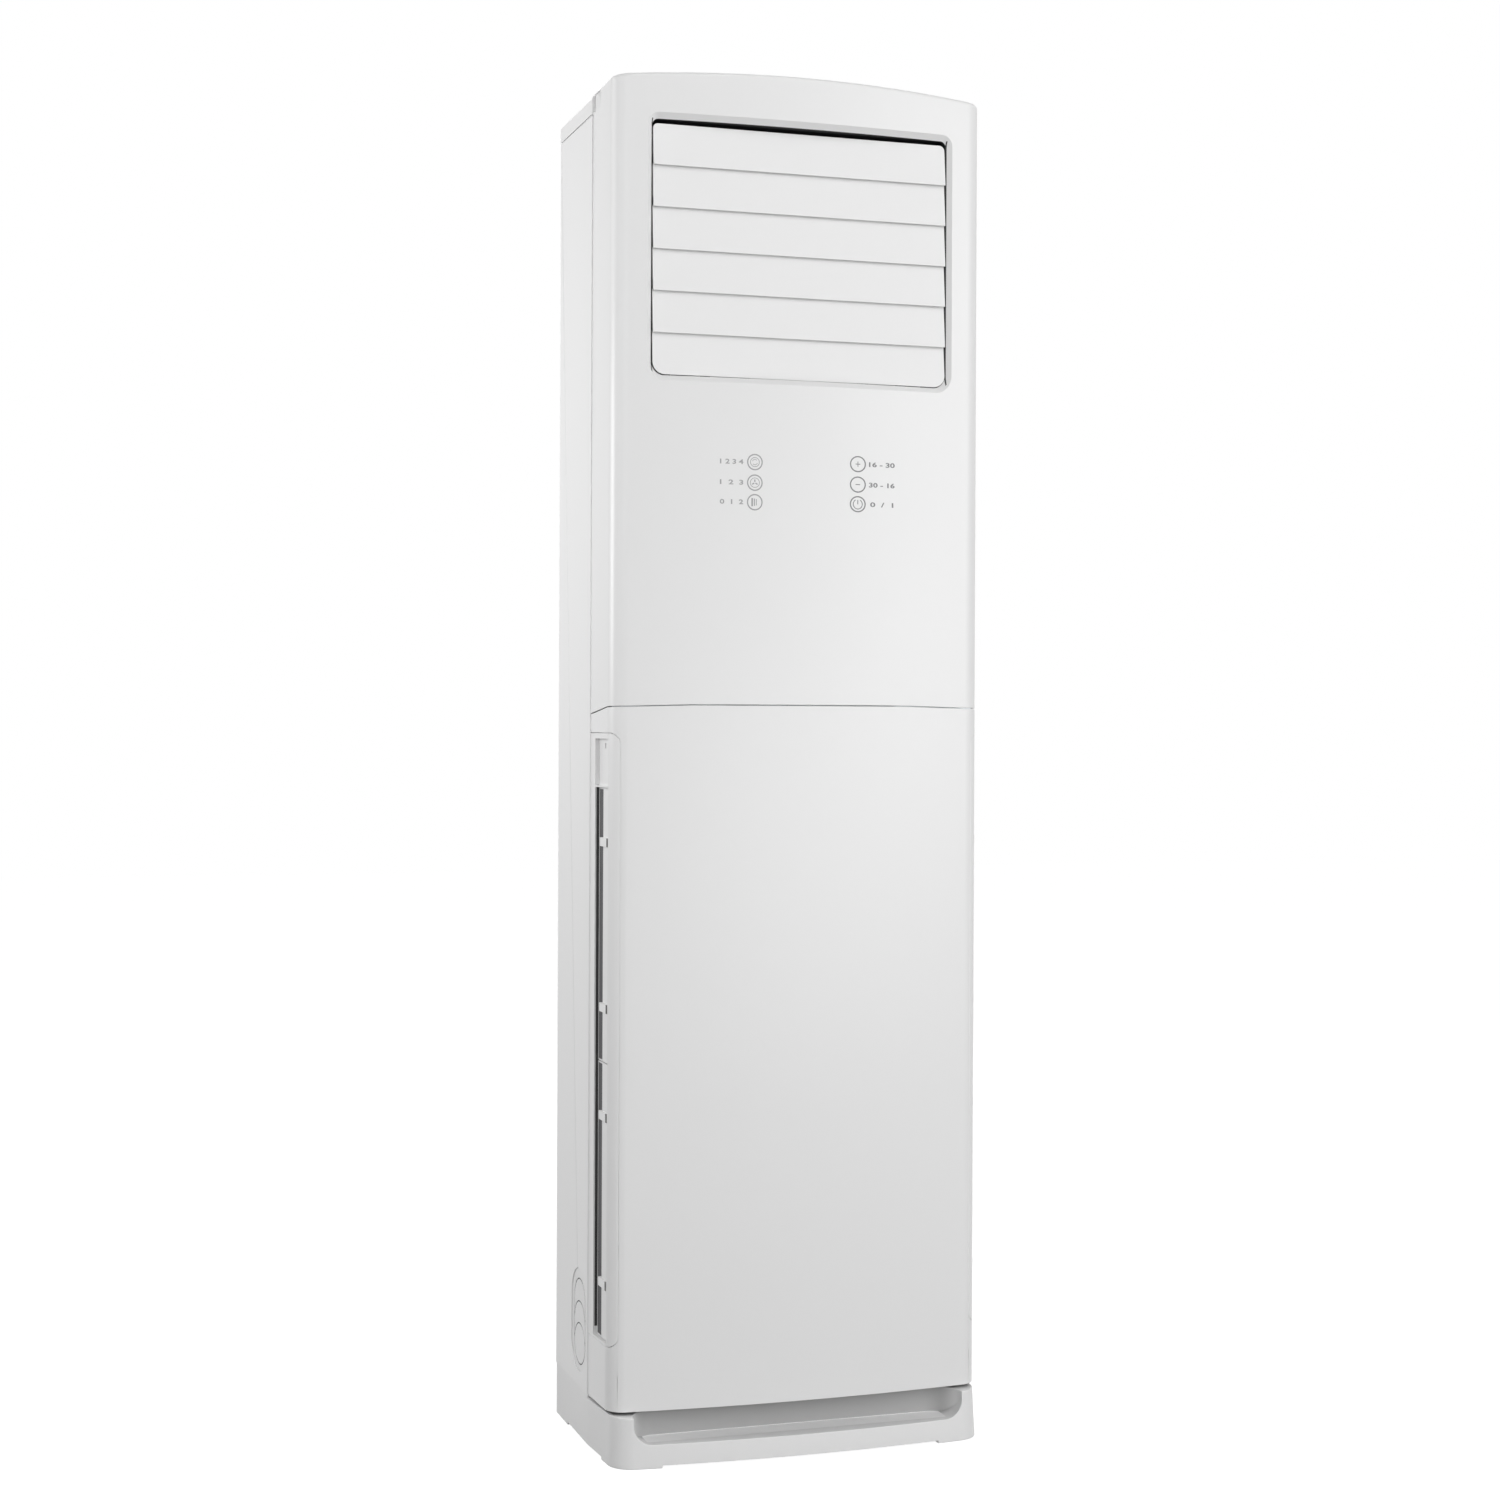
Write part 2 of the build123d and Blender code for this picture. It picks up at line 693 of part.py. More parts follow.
with BuildPart() as top_cover:
    cap_front_y = junction_y
    with BuildSketch(Plane.XY.offset(cap_bottom)):
        with Locations((0, cap_front_y)):
            Rectangle(cabinet_width, back_y - cap_front_y, align=(Align.CENTER, Align.MIN))
    extrude(amount=cap_top - cap_bottom)
    fillet(top_cover.faces().sort_by(Axis.Z)[-1].edges().filter_by_position(
        Axis.Y, cap_front_y + 1, back_y + 1), cap_edge_radius)
    with BuildSketch(Plane.XY.offset(cap_bottom)):
        with Locations((0, cap_front_y + cap_wall)):
            Rectangle(
                cabinet_width - 2 * cap_wall, back_y - cap_front_y - 2 * cap_wall,
                align=(Align.CENTER, Align.MIN),
            )
    extrude(amount=cap_top - cap_bottom - cap_wall, mode=Mode.SUBTRACT)
    # a round-nosed ear on each side reaches forward into the flank of the upper panel
    ear_middle = (cap_bottom + cap_top) / 2 + 1.6
    for side in (-1, 1):
        with BuildSketch(Plane.YZ.offset(side * ear_half_width)):
            with Locations((cap_front_y + 2 * touch, ear_middle)):
                Rectangle(ear_reach - ear_height / 2, ear_height, align=(Align.MAX, Align.CENTER))
            with Locations((cap_front_y - ear_reach + ear_height / 2, ear_middle)):
                Circle(ear_height / 2)
        extrude(amount=-side * cap_wall)
top_cover.part.label = "top_cover"
export_step(top_cover.part, "parts/top_cover.step")

# ---------------------------------------------------------------- front panels
with BuildPart() as upper_cavity:
    add(shell_block(panel_wall, junction_y))
    # the thick rim round the outlet stays
    extrude(
        outlet_elevation(outlet_flange, square=True), amount=-outlet_flange_depth,
        mode=Mode.SUBTRACT,
    )

with BuildPart() as upper_front_panel:
    add(shell_block(0.0, panel_rear_y))
    # rounded all along the top, except where the top cover meets it
    fillet(
        upper_front_panel.faces().sort_by(Axis.Z)[-1].edges().sort_by(Axis.Y)[:-1], crown_edge_radius
    )
    add(upper_cavity.part, mode=Mode.SUBTRACT)
    extrude(seam_side(seam_gap / 2, top=False), amount=shell_reach, mode=Mode.SUBTRACT)
    # outlet, with a bevel all round
    extrude(outlet_elevation(), amount=-panel_depth, both=True, mode=Mode.SUBTRACT)
    mouth = upper_front_panel.edges().filter_by_position(
        Axis.Z, outlet_bottom - 0.1, outlet_top + 0.1
    ).filter_by_position(Axis.X, -outlet_width / 2 - 0.1, outlet_width / 2 + 0.1)
    mouth = mouth.filter_by_position(Axis.Y, front_y - 1, rim_rear_y - 1).filter_by(Axis.Y, reverse=True)
    chamfer(mouth, outlet_bevel)
    # bosses that carry the touch board
    with BuildSketch(Plane.XZ.offset(-touch_board_y)) as bosses:
        with Locations((0, touch_board_z)):
            with GridLocations(touch_board_width - 14, touch_board_height - 14, 2, 2):
                Circle(3)
    extrude(bosses.sketch, amount=touch_board_y - front_y - boss_setback)
    # notches for the ears of the top cover
    for side in (-1, 1):
        with BuildSketch(Plane.YZ.offset(side * (half_cabinet + 1))) as notch:
            with Locations((junction_y, ear_middle)):
                Rectangle(
                    ear_reach - ear_height / 2 + 2 * touch, ear_height + 2 * touch,
                    align=(Align.MAX, Align.CENTER),
                )
            with Locations((junction_y - ear_reach + ear_height / 2, ear_middle)):
                Circle(ear_height / 2 + touch)
        extrude(notch.sketch, amount=-side * 4 * cap_wall, mode=Mode.SUBTRACT)
upper_front_panel.part.label = "upper_front_panel"
export_step(upper_front_panel.part, "parts/upper_front_panel.step")

with BuildPart() as lower_shell:
    with BuildSketch(Plane.XY.offset(panel_bottom)):
        add(shell_plan())
        add(shell_plan(panel_wall, junction_y), mode=Mode.SUBTRACT)
    extrude(amount=seam_height)
    extrude(seam_side(-seam_gap / 2, top=True), amount=shell_reach, mode=Mode.SUBTRACT)

with BuildPart() as lower_front_panel:
    add(lower_shell.part)
    for side in (-1, 1):
        region = flank_region(0.0).moved(Location((side * half_cabinet, 0, 0)))
        extrude(region, amount=-side * 4 * panel_corner_radius, mode=Mode.SUBTRACT)
lower_front_panel.part.label = "lower_front_panel"
export_step(lower_front_panel.part, "parts/lower_front_panel.step")

# ---------------------------------------------------------------- flank intakes
channel_front_y = front_y + channel_front_setback
channel_rear_y = front_y + channel_rear_setback
window_front_y = front_y + filter_window_setback


def outward_box(inner_x, outer_x, y_range, z_range, mode=Mode.ADD):
    """Box on the left flank between two distances from the middle of the cabinet."""
    with Locations(((-outer_x, y_range[0], z_range[0]))):
        Box(
            outer_x - inner_x, y_range[1] - y_range[0], z_range[1] - z_range[0],
            align=(Align.MIN, Align.MIN, Align.MIN), mode=mode,
        )


with BuildPart() as flank_cavity:
    with BuildSketch(Plane.XY.offset(intake_bottom - 1)):
        add(shell_plan(panel_wall, junction_y))
    extrude(amount=intake_top - intake_bottom + 2)
    # the channel's own walls and floor stay
    outward_box(
        pocket_floor_x - channel_wall, half_cabinet,
        (channel_front_y - channel_wall, channel_rear_y + channel_wall),
        (channel_bottom - channel_wall, filter_opening_top + channel_wall), mode=Mode.SUBTRACT,
    )
    outward_box(
        channel_floor_x - channel_wall, half_cabinet,
        (channel_front_y - channel_wall, channel_rear_y + channel_wall),
        (filter_opening_top, channel_top + channel_wall), mode=Mode.SUBTRACT,
    )

with BuildPart() as left_intake_frame:
    with BuildSketch(Plane.XY.offset(intake_bottom)):
        add(shell_plan())
    extrude(amount=intake_top - intake_bottom)
    add(flank_cavity.part, mode=Mode.SUBTRACT)
    region = flank_region(-intake_seam).moved(Location((-half_cabinet, 0, 0)))
    extrude(region, amount=4 * panel_corner_radius, mode=Mode.INTERSECT)
    # pocket of the filters, the shallow channel above it and the two air windows
    outward_box(
        pocket_floor_x, half_cabinet, (channel_front_y, channel_rear_y),
        (channel_bottom, filter_opening_top), mode=Mode.SUBTRACT,
    )
    outward_box(
        channel_floor_x, half_cabinet, (channel_front_y, channel_rear_y),
        (filter_opening_top + channel_wall, channel_top), mode=Mode.SUBTRACT,
    )
    # hole that takes the catch of the panel's cover strip
    catch_z = channel_top - catch_hole_drop
    outward_box(
        channel_floor_x - 2 * channel_wall, half_cabinet,
        (front_y + catch_hole_setback, front_y + catch_hole_setback + catch_hole_width),
        (catch_z - catch_hole_height / 2, catch_z + catch_hole_height / 2), mode=Mode.SUBTRACT,
    )
    for window_bottom, window_top in (
        (channel_bottom + filter_rim, filter_split - filter_rim),
        (filter_split + filter_rim, filter_opening_top - filter_rim),
    ):
        outward_box(
            pocket_floor_x - 2 * channel_wall, half_cabinet,
            (channel_front_y + 4 * filter_rim, channel_rear_y - filter_rim),
            (window_bottom, window_top), mode=Mode.SUBTRACT,
        )
left_intake_frame.part.label = "left_intake_frame"
export_step(left_intake_frame.part, "parts/left_intake_frame.step")

with BuildPart() as right_intake_frame:
    mirror(left_intake_frame.part, about=Plane.YZ)
right_intake_frame.part.label = "right_intake_frame"
export_step(right_intake_frame.part, "parts/right_intake_frame.step")

filter_spans = {
    "lower": (channel_bottom, filter_split, lower_tab_distances),
    "upper": (filter_split, filter_opening_top, upper_tab_distances),
}
filter_y = (channel_front_y + filter_clearance, channel_rear_y - filter_clearance)
filter_inner_x = pocket_floor_x + touch
mesh_outer_x = channel_floor_x - 0.2
for level, (place_bottom, place_top, tab_distances) in filter_spans.items():
    filter_bottom = place_bottom + filter_clearance
    filter_top = place_top - filter_clearance
    tabs = (place_bottom + tab_distances[0], place_top - tab_distances[1])
    window_y = (window_front_y, filter_y[1] - filter_rim)
    window_z = (filter_bottom + filter_rim, filter_top - filter_rim)
    with BuildPart() as filter_frame:
        outward_box(filter_inner_x, channel_floor_x, filter_y, (filter_bottom, filter_top))
        # hollow from the inside, leaving a skin in front and a rim all round
        outward_box(
            filter_inner_x - 1, channel_floor_x - filter_skin,
            (filter_y[0] + filter_rim, filter_y[1] - filter_rim), window_z, mode=Mode.SUBTRACT,
        )
        outward_box(filter_inner_x, half_cabinet, window_y, window_z, mode=Mode.SUBTRACT)
        # one upright rail behind the mesh
        outward_box(
            channel_floor_x - filter_skin, mesh_outer_x - filter_mesh_thickness,
            ((window_y[0] + window_y[1] - filter_rail) / 2, (window_y[0] + window_y[1] + filter_rail) / 2),
            window_z,
        )
        for tab_z in tabs:
            outward_box(
                channel_floor_x - filter_skin, channel_floor_x + tab_reach,
                (filter_y[0], filter_y[0] + tab_length), (tab_z - tab_height / 2, tab_z + tab_height / 2),
            )
    with BuildPart() as filter_mesh:
        outward_box(mesh_outer_x - filter_mesh_thickness, mesh_outer_x, window_y, window_z)
        for tab_z in tabs:
            outward_box(
                channel_floor_x - filter_skin, channel_floor_x + tab_reach,
                (filter_y[0], filter_y[0] + tab_length), (tab_z - tab_height / 2, tab_z + tab_height / 2),
                mode=Mode.SUBTRACT,
            )
    for side in ("left", "right"):
        with BuildPart() as placed_frame:
            add(filter_frame.part)
            if side == "right":
                mirror(about=Plane.YZ, mode=Mode.REPLACE)
        placed_frame.part.label = f"filter_frame_{side}_{level}"
        export_step(placed_frame.part, f"parts/filter_frame_{side}_{level}.step")
        with BuildPart() as placed_mesh:
            add(filter_mesh.part)
            if side == "right":
                mirror(about=Plane.YZ, mode=Mode.REPLACE)
        placed_mesh.part.label = f"filter_mesh_{side}_{level}"
        export_step(placed_mesh.part, f"parts/filter_mesh_{side}_{level}.step")

# ---------------------------------------------------------------- outlet frame
lowest_edge = outlet_bottom + louvre_bottom_gap
blade_pivots = [
    lowest_edge + louvre_pitch * (louvre_count - 0.5 - index) for index in range(louvre_count)
]
vane_pitch = (outlet_width - 2 * vane_end_gap) / (vane_count - 1)
vane_xs = [vane_pitch * (index - (vane_count - 1) / 2) for index in range(vane_count)]
pin_hole_radius = pivot_pin_diameter / 2 + running_clearance
lead_louvre_index = 2
lead_vane_index = 3
duct_length = duct_rear_y - duct_front_y

with BuildPart() as outlet_frame:
    with BuildSketch(Plane.XZ.offset(-duct_front_y)):
        with Locations((0, (duct_top + duct_bottom) / 2)):
            Rectangle(2 * (duct_half + duct_wall), duct_top - duct_bottom + 2 * duct_wall)
            Rectangle(2 * duct_half, duct_top - duct_bottom, mode=Mode.SUBTRACT)
    extrude(amount=-duct_length)
    # flange that closes the space round the duct against the cabinet
    with BuildSketch(Plane.XZ.offset(-duct_rear_y)):
        with Locations((0, (duct_top + duct_bottom) / 2)):
            Rectangle(2 * (half_cabinet - duct_flange_gap), duct_top - duct_bottom + 6 * duct_wall)
            Rectangle(2 * duct_half, duct_top - duct_bottom, mode=Mode.SUBTRACT)
    extrude(amount=duct_wall)
    # open-fronted bearings for the louvre pins in both side walls
    with BuildSketch(Plane.YZ) as bearings:
        for pivot_z in blade_pivots:
            with Locations((louvre_pivot_y, pivot_z)):
                Circle(pin_hole_radius)
                Rectangle(
                    louvre_pivot_y - duct_front_y + duct_wall, 2 * pin_hole_radius,
                    align=(Align.MAX, Align.CENTER),
                )
    extrude(bearings.sketch, amount=shell_reach, both=True, mode=Mode.SUBTRACT)
    # holes for the vane pivots in the floor and the roof
    with BuildSketch(Plane.XY.offset(duct_bottom - 2 * duct_wall)) as vane_holes:
        with Locations(*[(vane_x, vane_pivot_y) for vane_x in vane_xs]):
            Circle(pin_hole_radius)
    extrude(vane_holes.sketch, amount=height, mode=Mode.SUBTRACT)
    # posts that carry the louvre motor on the right-hand side
    with BuildSketch(Plane.YZ.offset(duct_half + duct_wall)) as posts:
        with Locations(
            (louvre_pivot_y, blade_pivots[lead_louvre_index] - stepper_ear_spacing / 2),
            (louvre_pivot_y, blade_pivots[lead_louvre_index] + stepper_ear_spacing / 2),
        ):
            Circle(stepper_ear_diameter / 2)
    lever_space = 2 * lever_thickness + link_thickness + 3 * touch
    extrude(posts.sketch, amount=lever_space)
outlet_frame.part.label = "outlet_frame"
export_step(outlet_frame.part, "parts/outlet_frame.step")

# ---------------------------------------------------------------- louvres
cheek_thickness = 2.5
cheek_half_height = 13.0
rib_depth = 7.0
lever_x = duct_half + duct_wall + touch
link_x = lever_x + lever_thickness + touch
motor_face_x = duct_half + duct_wall + lever_space
stub_depth = 6.0
crank_y = crank_radius * math.cos(math.radians(crank_angle))
crank_z = crank_radius * math.sin(math.radians(crank_angle))

for index, pivot_z in enumerate(blade_pivots):
    lower_edge = pivot_z - louvre_pitch / 2
    is_top = index == 0
    upper_edge = lower_edge + louvre_pitch + (0 if is_top else louvre_lap)
    back_y_at_pivot = louvre_y + louvre_lean / 2 + louvre_thickness
    with BuildPart() as louvre:
        with BuildSketch(Plane.YZ.offset(-blade_half)) as section:
            with BuildLine():
                Polyline(
                    (louvre_y, lower_edge), (louvre_y + louvre_lean, upper_edge),
                    (louvre_y + louvre_lean + louvre_thickness, upper_edge),
                    (louvre_y + louvre_thickness, lower_edge), (louvre_y, lower_edge),
                )
            make_face()
        extrude(section.sketch, amount=2 * blade_half)
        # corners follow the rounded corners of the opening
        ends = louvre.edges().filter_by(Axis.Y, tolerance=30).group_by(Axis.Z)
        if is_top:
            fillet(ends[-1], outlet_top_radius - 1)
        elif index == louvre_count - 1:
            fillet(ends[0], outlet_bottom_radius - 1)
        # stiffening rib along the back
        with BuildSketch(Plane.YZ.offset(-blade_half)) as rib:
            with Locations((back_y_at_pivot - louvre_thickness / 2, pivot_z)):
                Rectangle(rib_depth, 2.0, align=(Align.MIN, Align.CENTER))
        extrude(rib.sketch, amount=2 * blade_half)
        # cheeks with the pivot pins
        for cheek_x in (-blade_half, blade_half - cheek_thickness):
            with BuildSketch(Plane.YZ.offset(cheek_x)) as cheek:
                with BuildLine():
                    Polyline(
                        (back_y_at_pivot, pivot_z - cheek_half_height),
                        (louvre_pivot_y, pivot_z - pivot_pin_diameter),
                        (louvre_pivot_y, pivot_z + pivot_pin_diameter),
                        (back_y_at_pivot, pivot_z + cheek_half_height),
                        (back_y_at_pivot - louvre_thickness / 2, pivot_z),
                        (back_y_at_pivot, pivot_z - cheek_half_height),
                    )
                make_face()
                with Locations((louvre_pivot_y, pivot_z)):
                    Circle(pivot_pin_diameter)
            extrude(cheek.sketch, amount=cheek_thickness)
        with BuildSketch(Plane.YZ.offset(-duct_half - duct_wall + touch)) as left_pin:
            with Locations((louvre_pivot_y, pivot_z)):
                Circle(pivot_pin_diameter / 2)
        extrude(left_pin.sketch, amount=duct_half + duct_wall - blade_half)
        with BuildSketch(Plane.YZ.offset(blade_half - 1)) as right_pin:
            with Locations((louvre_pivot_y, pivot_z)):
                Circle(pivot_pin_diameter / 2)
        extrude(right_pin.sketch, amount=lever_x - blade_half + 2)
        # crank lever outside the duct, with its pin
        with BuildSketch(Plane.YZ.offset(lever_x)) as lever:
            with Locations((louvre_pivot_y, pivot_z), (louvre_pivot_y + crank_y, pivot_z + crank_z)):
                Circle(link_width / 2)
            with Locations((louvre_pivot_y + crank_y / 2, pivot_z + crank_z / 2)):
                Rectangle(crank_radius, link_width, rotation=crank_angle)
        extrude(lever.sketch, amount=lever_thickness)
        with BuildSketch(Plane.YZ.offset(lever_x)) as crank_pin:
            with Locations((louvre_pivot_y + crank_y, pivot_z + crank_z)):
                Circle(crank_pin_diameter / 2)
        extrude(crank_pin.sketch, amount=lever_thickness + link_thickness + 2 * touch)
        if index == lead_louvre_index:
            with BuildSketch(Plane.YZ.offset(lever_x)) as stub:
                with Locations((louvre_pivot_y, pivot_z)):
                    Circle(pivot_pin_diameter / 2)
            extrude(stub.sketch, amount=motor_face_x + stub_depth - lever_x)
    louvre.part.label = f"louvre_{index + 1}"
    export_step(louvre.part, f"parts/louvre_{index + 1}.step")

with BuildPart() as louvre_link:
    link_y = louvre_pivot_y + crank_y
    link_bottom = blade_pivots[-1] + crank_z
    link_top = blade_pivots[0] + crank_z
    with BuildSketch(Plane.YZ.offset(link_x)) as bar:
        with Locations((link_y, (link_bottom + link_top) / 2)):
            SlotCenterToCenter(link_top - link_bottom, link_width, rotation=90)
        with Locations(*[(link_y, pivot_z + crank_z) for pivot_z in blade_pivots]):
            Circle(crank_pin_diameter / 2 + running_clearance, mode=Mode.SUBTRACT)
    extrude(bar.sketch, amount=link_thickness)
louvre_link.part.label = "louvre_link"
export_step(louvre_link.part, "parts/louvre_link.step")


def stepper(plane, name):
    """Geared stepper motor: ear plate on the given plane, blind bore for a stub shaft."""
    with BuildPart() as motor:
        with BuildSketch(plane) as ears:
            Circle(stepper_diameter / 2)
            with Locations((0, -stepper_ear_spacing / 2), (0, stepper_ear_spacing / 2)):
                Circle(stepper_ear_diameter / 2)
            Rectangle(stepper_ear_diameter, stepper_ear_spacing)
        extrude(ears.sketch, amount=1)
        with BuildSketch(plane) as can:
            Circle(stepper_diameter / 2)
        extrude(can.sketch, amount=stepper_length)
        with BuildSketch(plane) as bore:
            Circle(pin_hole_radius)
        extrude(bore.sketch, amount=stub_depth + 1, mode=Mode.SUBTRACT)
    motor.part.label = name
    return motor.part


louvre_motor_plane = Plane(
    origin=(motor_face_x, louvre_pivot_y, blade_pivots[lead_louvre_index]), x_dir=(0, 1, 0), z_dir=(1, 0, 0)
)
louvre_motor = stepper(louvre_motor_plane, "louvre_motor")
export_step(louvre_motor, "parts/louvre_motor.step")

# ---------------------------------------------------------------- vertical vanes
vane_link_z = duct_bottom + 4.0
vane_lever_z = vane_link_z + link_thickness + touch
vane_bottom_z = vane_lever_z + lever_thickness
vane_top_z = duct_top - 3.0
vane_motor_z = duct_top + duct_wall

for index, vane_x in enumerate(vane_xs):
    with BuildPart() as vane:
        with BuildSketch(Plane.XY.offset(vane_bottom_z)) as blade:
            with Locations((vane_x, vane_pivot_y + (vane_chord_rear - vane_chord_front) / 2)):
                Rectangle(vane_thickness, vane_chord_front + vane_chord_rear)
            with Locations((vane_x, vane_pivot_y)):
                Circle(pivot_pin_diameter / 2)
        extrude(blade.sketch, amount=vane_top_z - vane_bottom_z)
        with BuildSketch(Plane.XY.offset(vane_lever_z)) as lever:
            with Locations((vane_x, vane_pivot_y + crank_radius / 2)):
                SlotCenterToCenter(crank_radius, link_width, rotation=90)
        extrude(lever.sketch, amount=lever_thickness)
        pin_top = duct_top + duct_wall - touch
        if index == lead_vane_index:
            pin_top = vane_motor_z + stub_depth
        pin_bottom = duct_bottom - duct_wall + touch
        with BuildSketch(Plane.XY.offset(pin_bottom)) as pivots:
            with Locations((vane_x, vane_pivot_y)):
                Circle(pivot_pin_diameter / 2)
        extrude(pivots.sketch, amount=pin_top - pin_bottom)
        with BuildSketch(Plane.XY.offset(vane_link_z - touch)) as crank_pin:
            with Locations((vane_x, vane_pivot_y + crank_radius)):
                Circle(crank_pin_diameter / 2)
        extrude(crank_pin.sketch, amount=link_thickness + 3 * touch)
    vane.part.label = f"vane_{index + 1}"
    export_step(vane.part, f"parts/vane_{index + 1}.step")

with BuildPart() as vane_link:
    with BuildSketch(Plane.XY.offset(vane_link_z)) as bar:
        with Locations((0, vane_pivot_y + crank_radius)):
            SlotCenterToCenter(vane_xs[-1] - vane_xs[0], link_width)
        with Locations(*[(vane_x, vane_pivot_y + crank_radius) for vane_x in vane_xs]):
            Circle(crank_pin_diameter / 2 + running_clearance, mode=Mode.SUBTRACT)
    extrude(bar.sketch, amount=link_thickness)
vane_link.part.label = "vane_link"
export_step(vane_link.part, "parts/vane_link.step")

vane_motor_plane = Plane(
    origin=(vane_xs[lead_vane_index], vane_pivot_y, vane_motor_z), x_dir=(0, 1, 0), z_dir=(0, 0, 1)
)
vane_motor = stepper(vane_motor_plane, "vane_motor")
export_step(vane_motor, "parts/vane_motor.step")

# ---------------------------------------------------------------- blower
with BuildPart() as volute_housing:
    # two feet carry the scroll on the base pan
    with BuildSketch(Plane.XY.offset(base_top + pan_sheet)) as feet:
        with Locations((-volute_foot_spacing / 2, 0), (volute_foot_spacing / 2, 0)):
            with Locations((0, (volute_front_y + volute_rear_y) / 2)):
                Rectangle(volute_foot_width, volute_rear_y - volute_front_y)
                Rectangle(
                    volute_foot_width - 2 * volute_wall, volute_rear_y - volute_front_y - 2 * volute_wall,
                    mode=Mode.SUBTRACT,
                )
    extrude(feet.sketch, amount=wheel_height - scroll_start_radius - base_top)
    outer_plane = Plane.XZ.offset(-volute_front_y)
    extrude(
        scroll_elevation(outer_plane, volute_wall, deck_top - pan_sheet),
        amount=-(volute_rear_y - volute_front_y),
    )
    inner_plane = Plane.XZ.offset(-volute_front_y - volute_wall)
    extrude(
        scroll_elevation(inner_plane, 0.0, deck_top),
        amount=-(volute_rear_y - volute_front_y - 2 * volute_wall), mode=Mode.SUBTRACT,
    )
    for hole_plane, hole_radius in (
        (Plane.XZ.offset(-volute_front_y + 1), bell_throat_radius + bell_depth + volute_inlet_gap),
        (Plane.XZ.offset(-volute_rear_y + volute_wall + 1), volute_motor_hole_radius),
    ):
        with BuildSketch(hole_plane) as hole:
            with Locations((0, wheel_height)):
                Circle(hole_radius)
        extrude(hole.sketch, amount=-volute_wall - 2, mode=Mode.SUBTRACT)
volute_housing.part.label = "volute_housing"
export_step(volute_housing.part, "parts/volute_housing.step")

wheel_plane = Plane(origin=(0, 0, wheel_height), x_dir=(1, 0, 0), z_dir=(0, 0, 1))
wheel_axis = Axis((0, 0, wheel_height), (0, 1, 0))

with BuildPart() as inlet_bell:
    with BuildSketch(wheel_plane) as bell_section:
        with BuildLine():
            flange_y = volute_front_y
            Polyline(
                (bell_outer_radius, flange_y), (bell_outer_radius, flange_y - volute_wall),
                (bell_throat_radius + bell_depth, flange_y - volute_wall),
            )
            TangentArc(
                (bell_throat_radius + bell_depth, flange_y - volute_wall),
                (bell_throat_radius, flange_y - volute_wall + bell_depth), tangent=(-1, 0),
            )
            Line(
                (bell_throat_radius, flange_y - volute_wall + bell_depth),
                (bell_throat_radius + volute_wall, flange_y - volute_wall + bell_depth),
            )
            TangentArc(
                (bell_throat_radius + volute_wall, flange_y - volute_wall + bell_depth),
                (bell_throat_radius + bell_depth, flange_y), tangent=(0, -1),
            )
            Line((bell_throat_radius + bell_depth, flange_y), (bell_outer_radius, flange_y))
        make_face()
    revolve(axis=wheel_axis)
inlet_bell.part.label = "inlet_bell"
export_step(inlet_bell.part, "parts/inlet_bell.step")

with BuildPart() as blower_wheel:
    blade_inner = wheel_inlet_radius
    # dished web: hub plate, cone round the motor, rear ring
    with BuildSketch(wheel_plane) as web:
        hub_plate_y = hub_front_y + hub_length / 2
        with BuildLine():
            Polyline(
                (shaft_diameter / 2, hub_front_y), (hub_radius, hub_front_y), (hub_radius, hub_plate_y),
                (dish_radius - 8, hub_plate_y), (dish_radius + 18, wheel_rear_y - wheel_web),
                (wheel_radius, wheel_rear_y - wheel_web), (wheel_radius, wheel_rear_y),
                (dish_radius + 16, wheel_rear_y), (dish_radius - 10, hub_plate_y + wheel_web),
                (hub_radius, hub_plate_y + wheel_web), (hub_radius, hub_front_y + hub_length),
                (shaft_diameter / 2, hub_front_y + hub_length), (shaft_diameter / 2, hub_front_y),
            )
        make_face()
    revolve(axis=wheel_axis)
    # forward-curved blades
    chord_plane = Plane.XZ.offset(-wheel_front_y)
    blade_mid = (blade_inner + wheel_radius) / 2
    with BuildSketch() as blade_profile:
        with BuildLine():
            camber = ThreePointArc(
                (blade_inner + 0.5, -3.0), (blade_mid, 2.2), (wheel_radius - 0.8, 12.0)
            )
            offset(camber, wheel_blade_thickness, side=Side.LEFT)
        make_face()
    with BuildSketch(chord_plane) as blade_ring:
        with Locations((0, wheel_height)):
            with PolarLocations(0, wheel_blades):
                add(blade_profile.sketch)
    extrude(blade_ring.sketch, amount=-(wheel_rear_y - wheel_front_y - wheel_web / 2))
    # front ring that ties the blade tips together
    with BuildSketch(chord_plane) as ring:
        with Locations((0, wheel_height)):
            Circle(wheel_radius + 1.5)
            Circle(wheel_radius - wheel_ring_height / 2, mode=Mode.SUBTRACT)
    extrude(ring.sketch, amount=-2)
blower_wheel.part.label = "blower_wheel"
export_step(blower_wheel.part, "parts/blower_wheel.step")

hub_bore_radius = shaft_diameter / 2
motor_bore_depth = 42.0
with BuildPart() as blower_shaft:
    with BuildSketch(Plane.XZ.offset(-hub_front_y + nut_height + 4)):
        with Locations((0, wheel_height)):
            Circle(hub_bore_radius)
    extrude(amount=-(motor_front_y + motor_bore_depth - 2 - hub_front_y + nut_height + 4))
blower_shaft.part.label = "blower_shaft"
export_step(blower_shaft.part, "parts/blower_shaft.step")

with BuildPart() as shaft_nut:
    with BuildSketch(Plane.XZ.offset(-hub_front_y)):
        with Locations((0, wheel_height)):
            RegularPolygon(nut_across_flats / 2, 6, major_radius=False)
            Circle(hub_bore_radius, mode=Mode.SUBTRACT)
    extrude(amount=nut_height)
shaft_nut.part.label = "shaft_nut"
export_step(shaft_nut.part, "parts/shaft_nut.step")

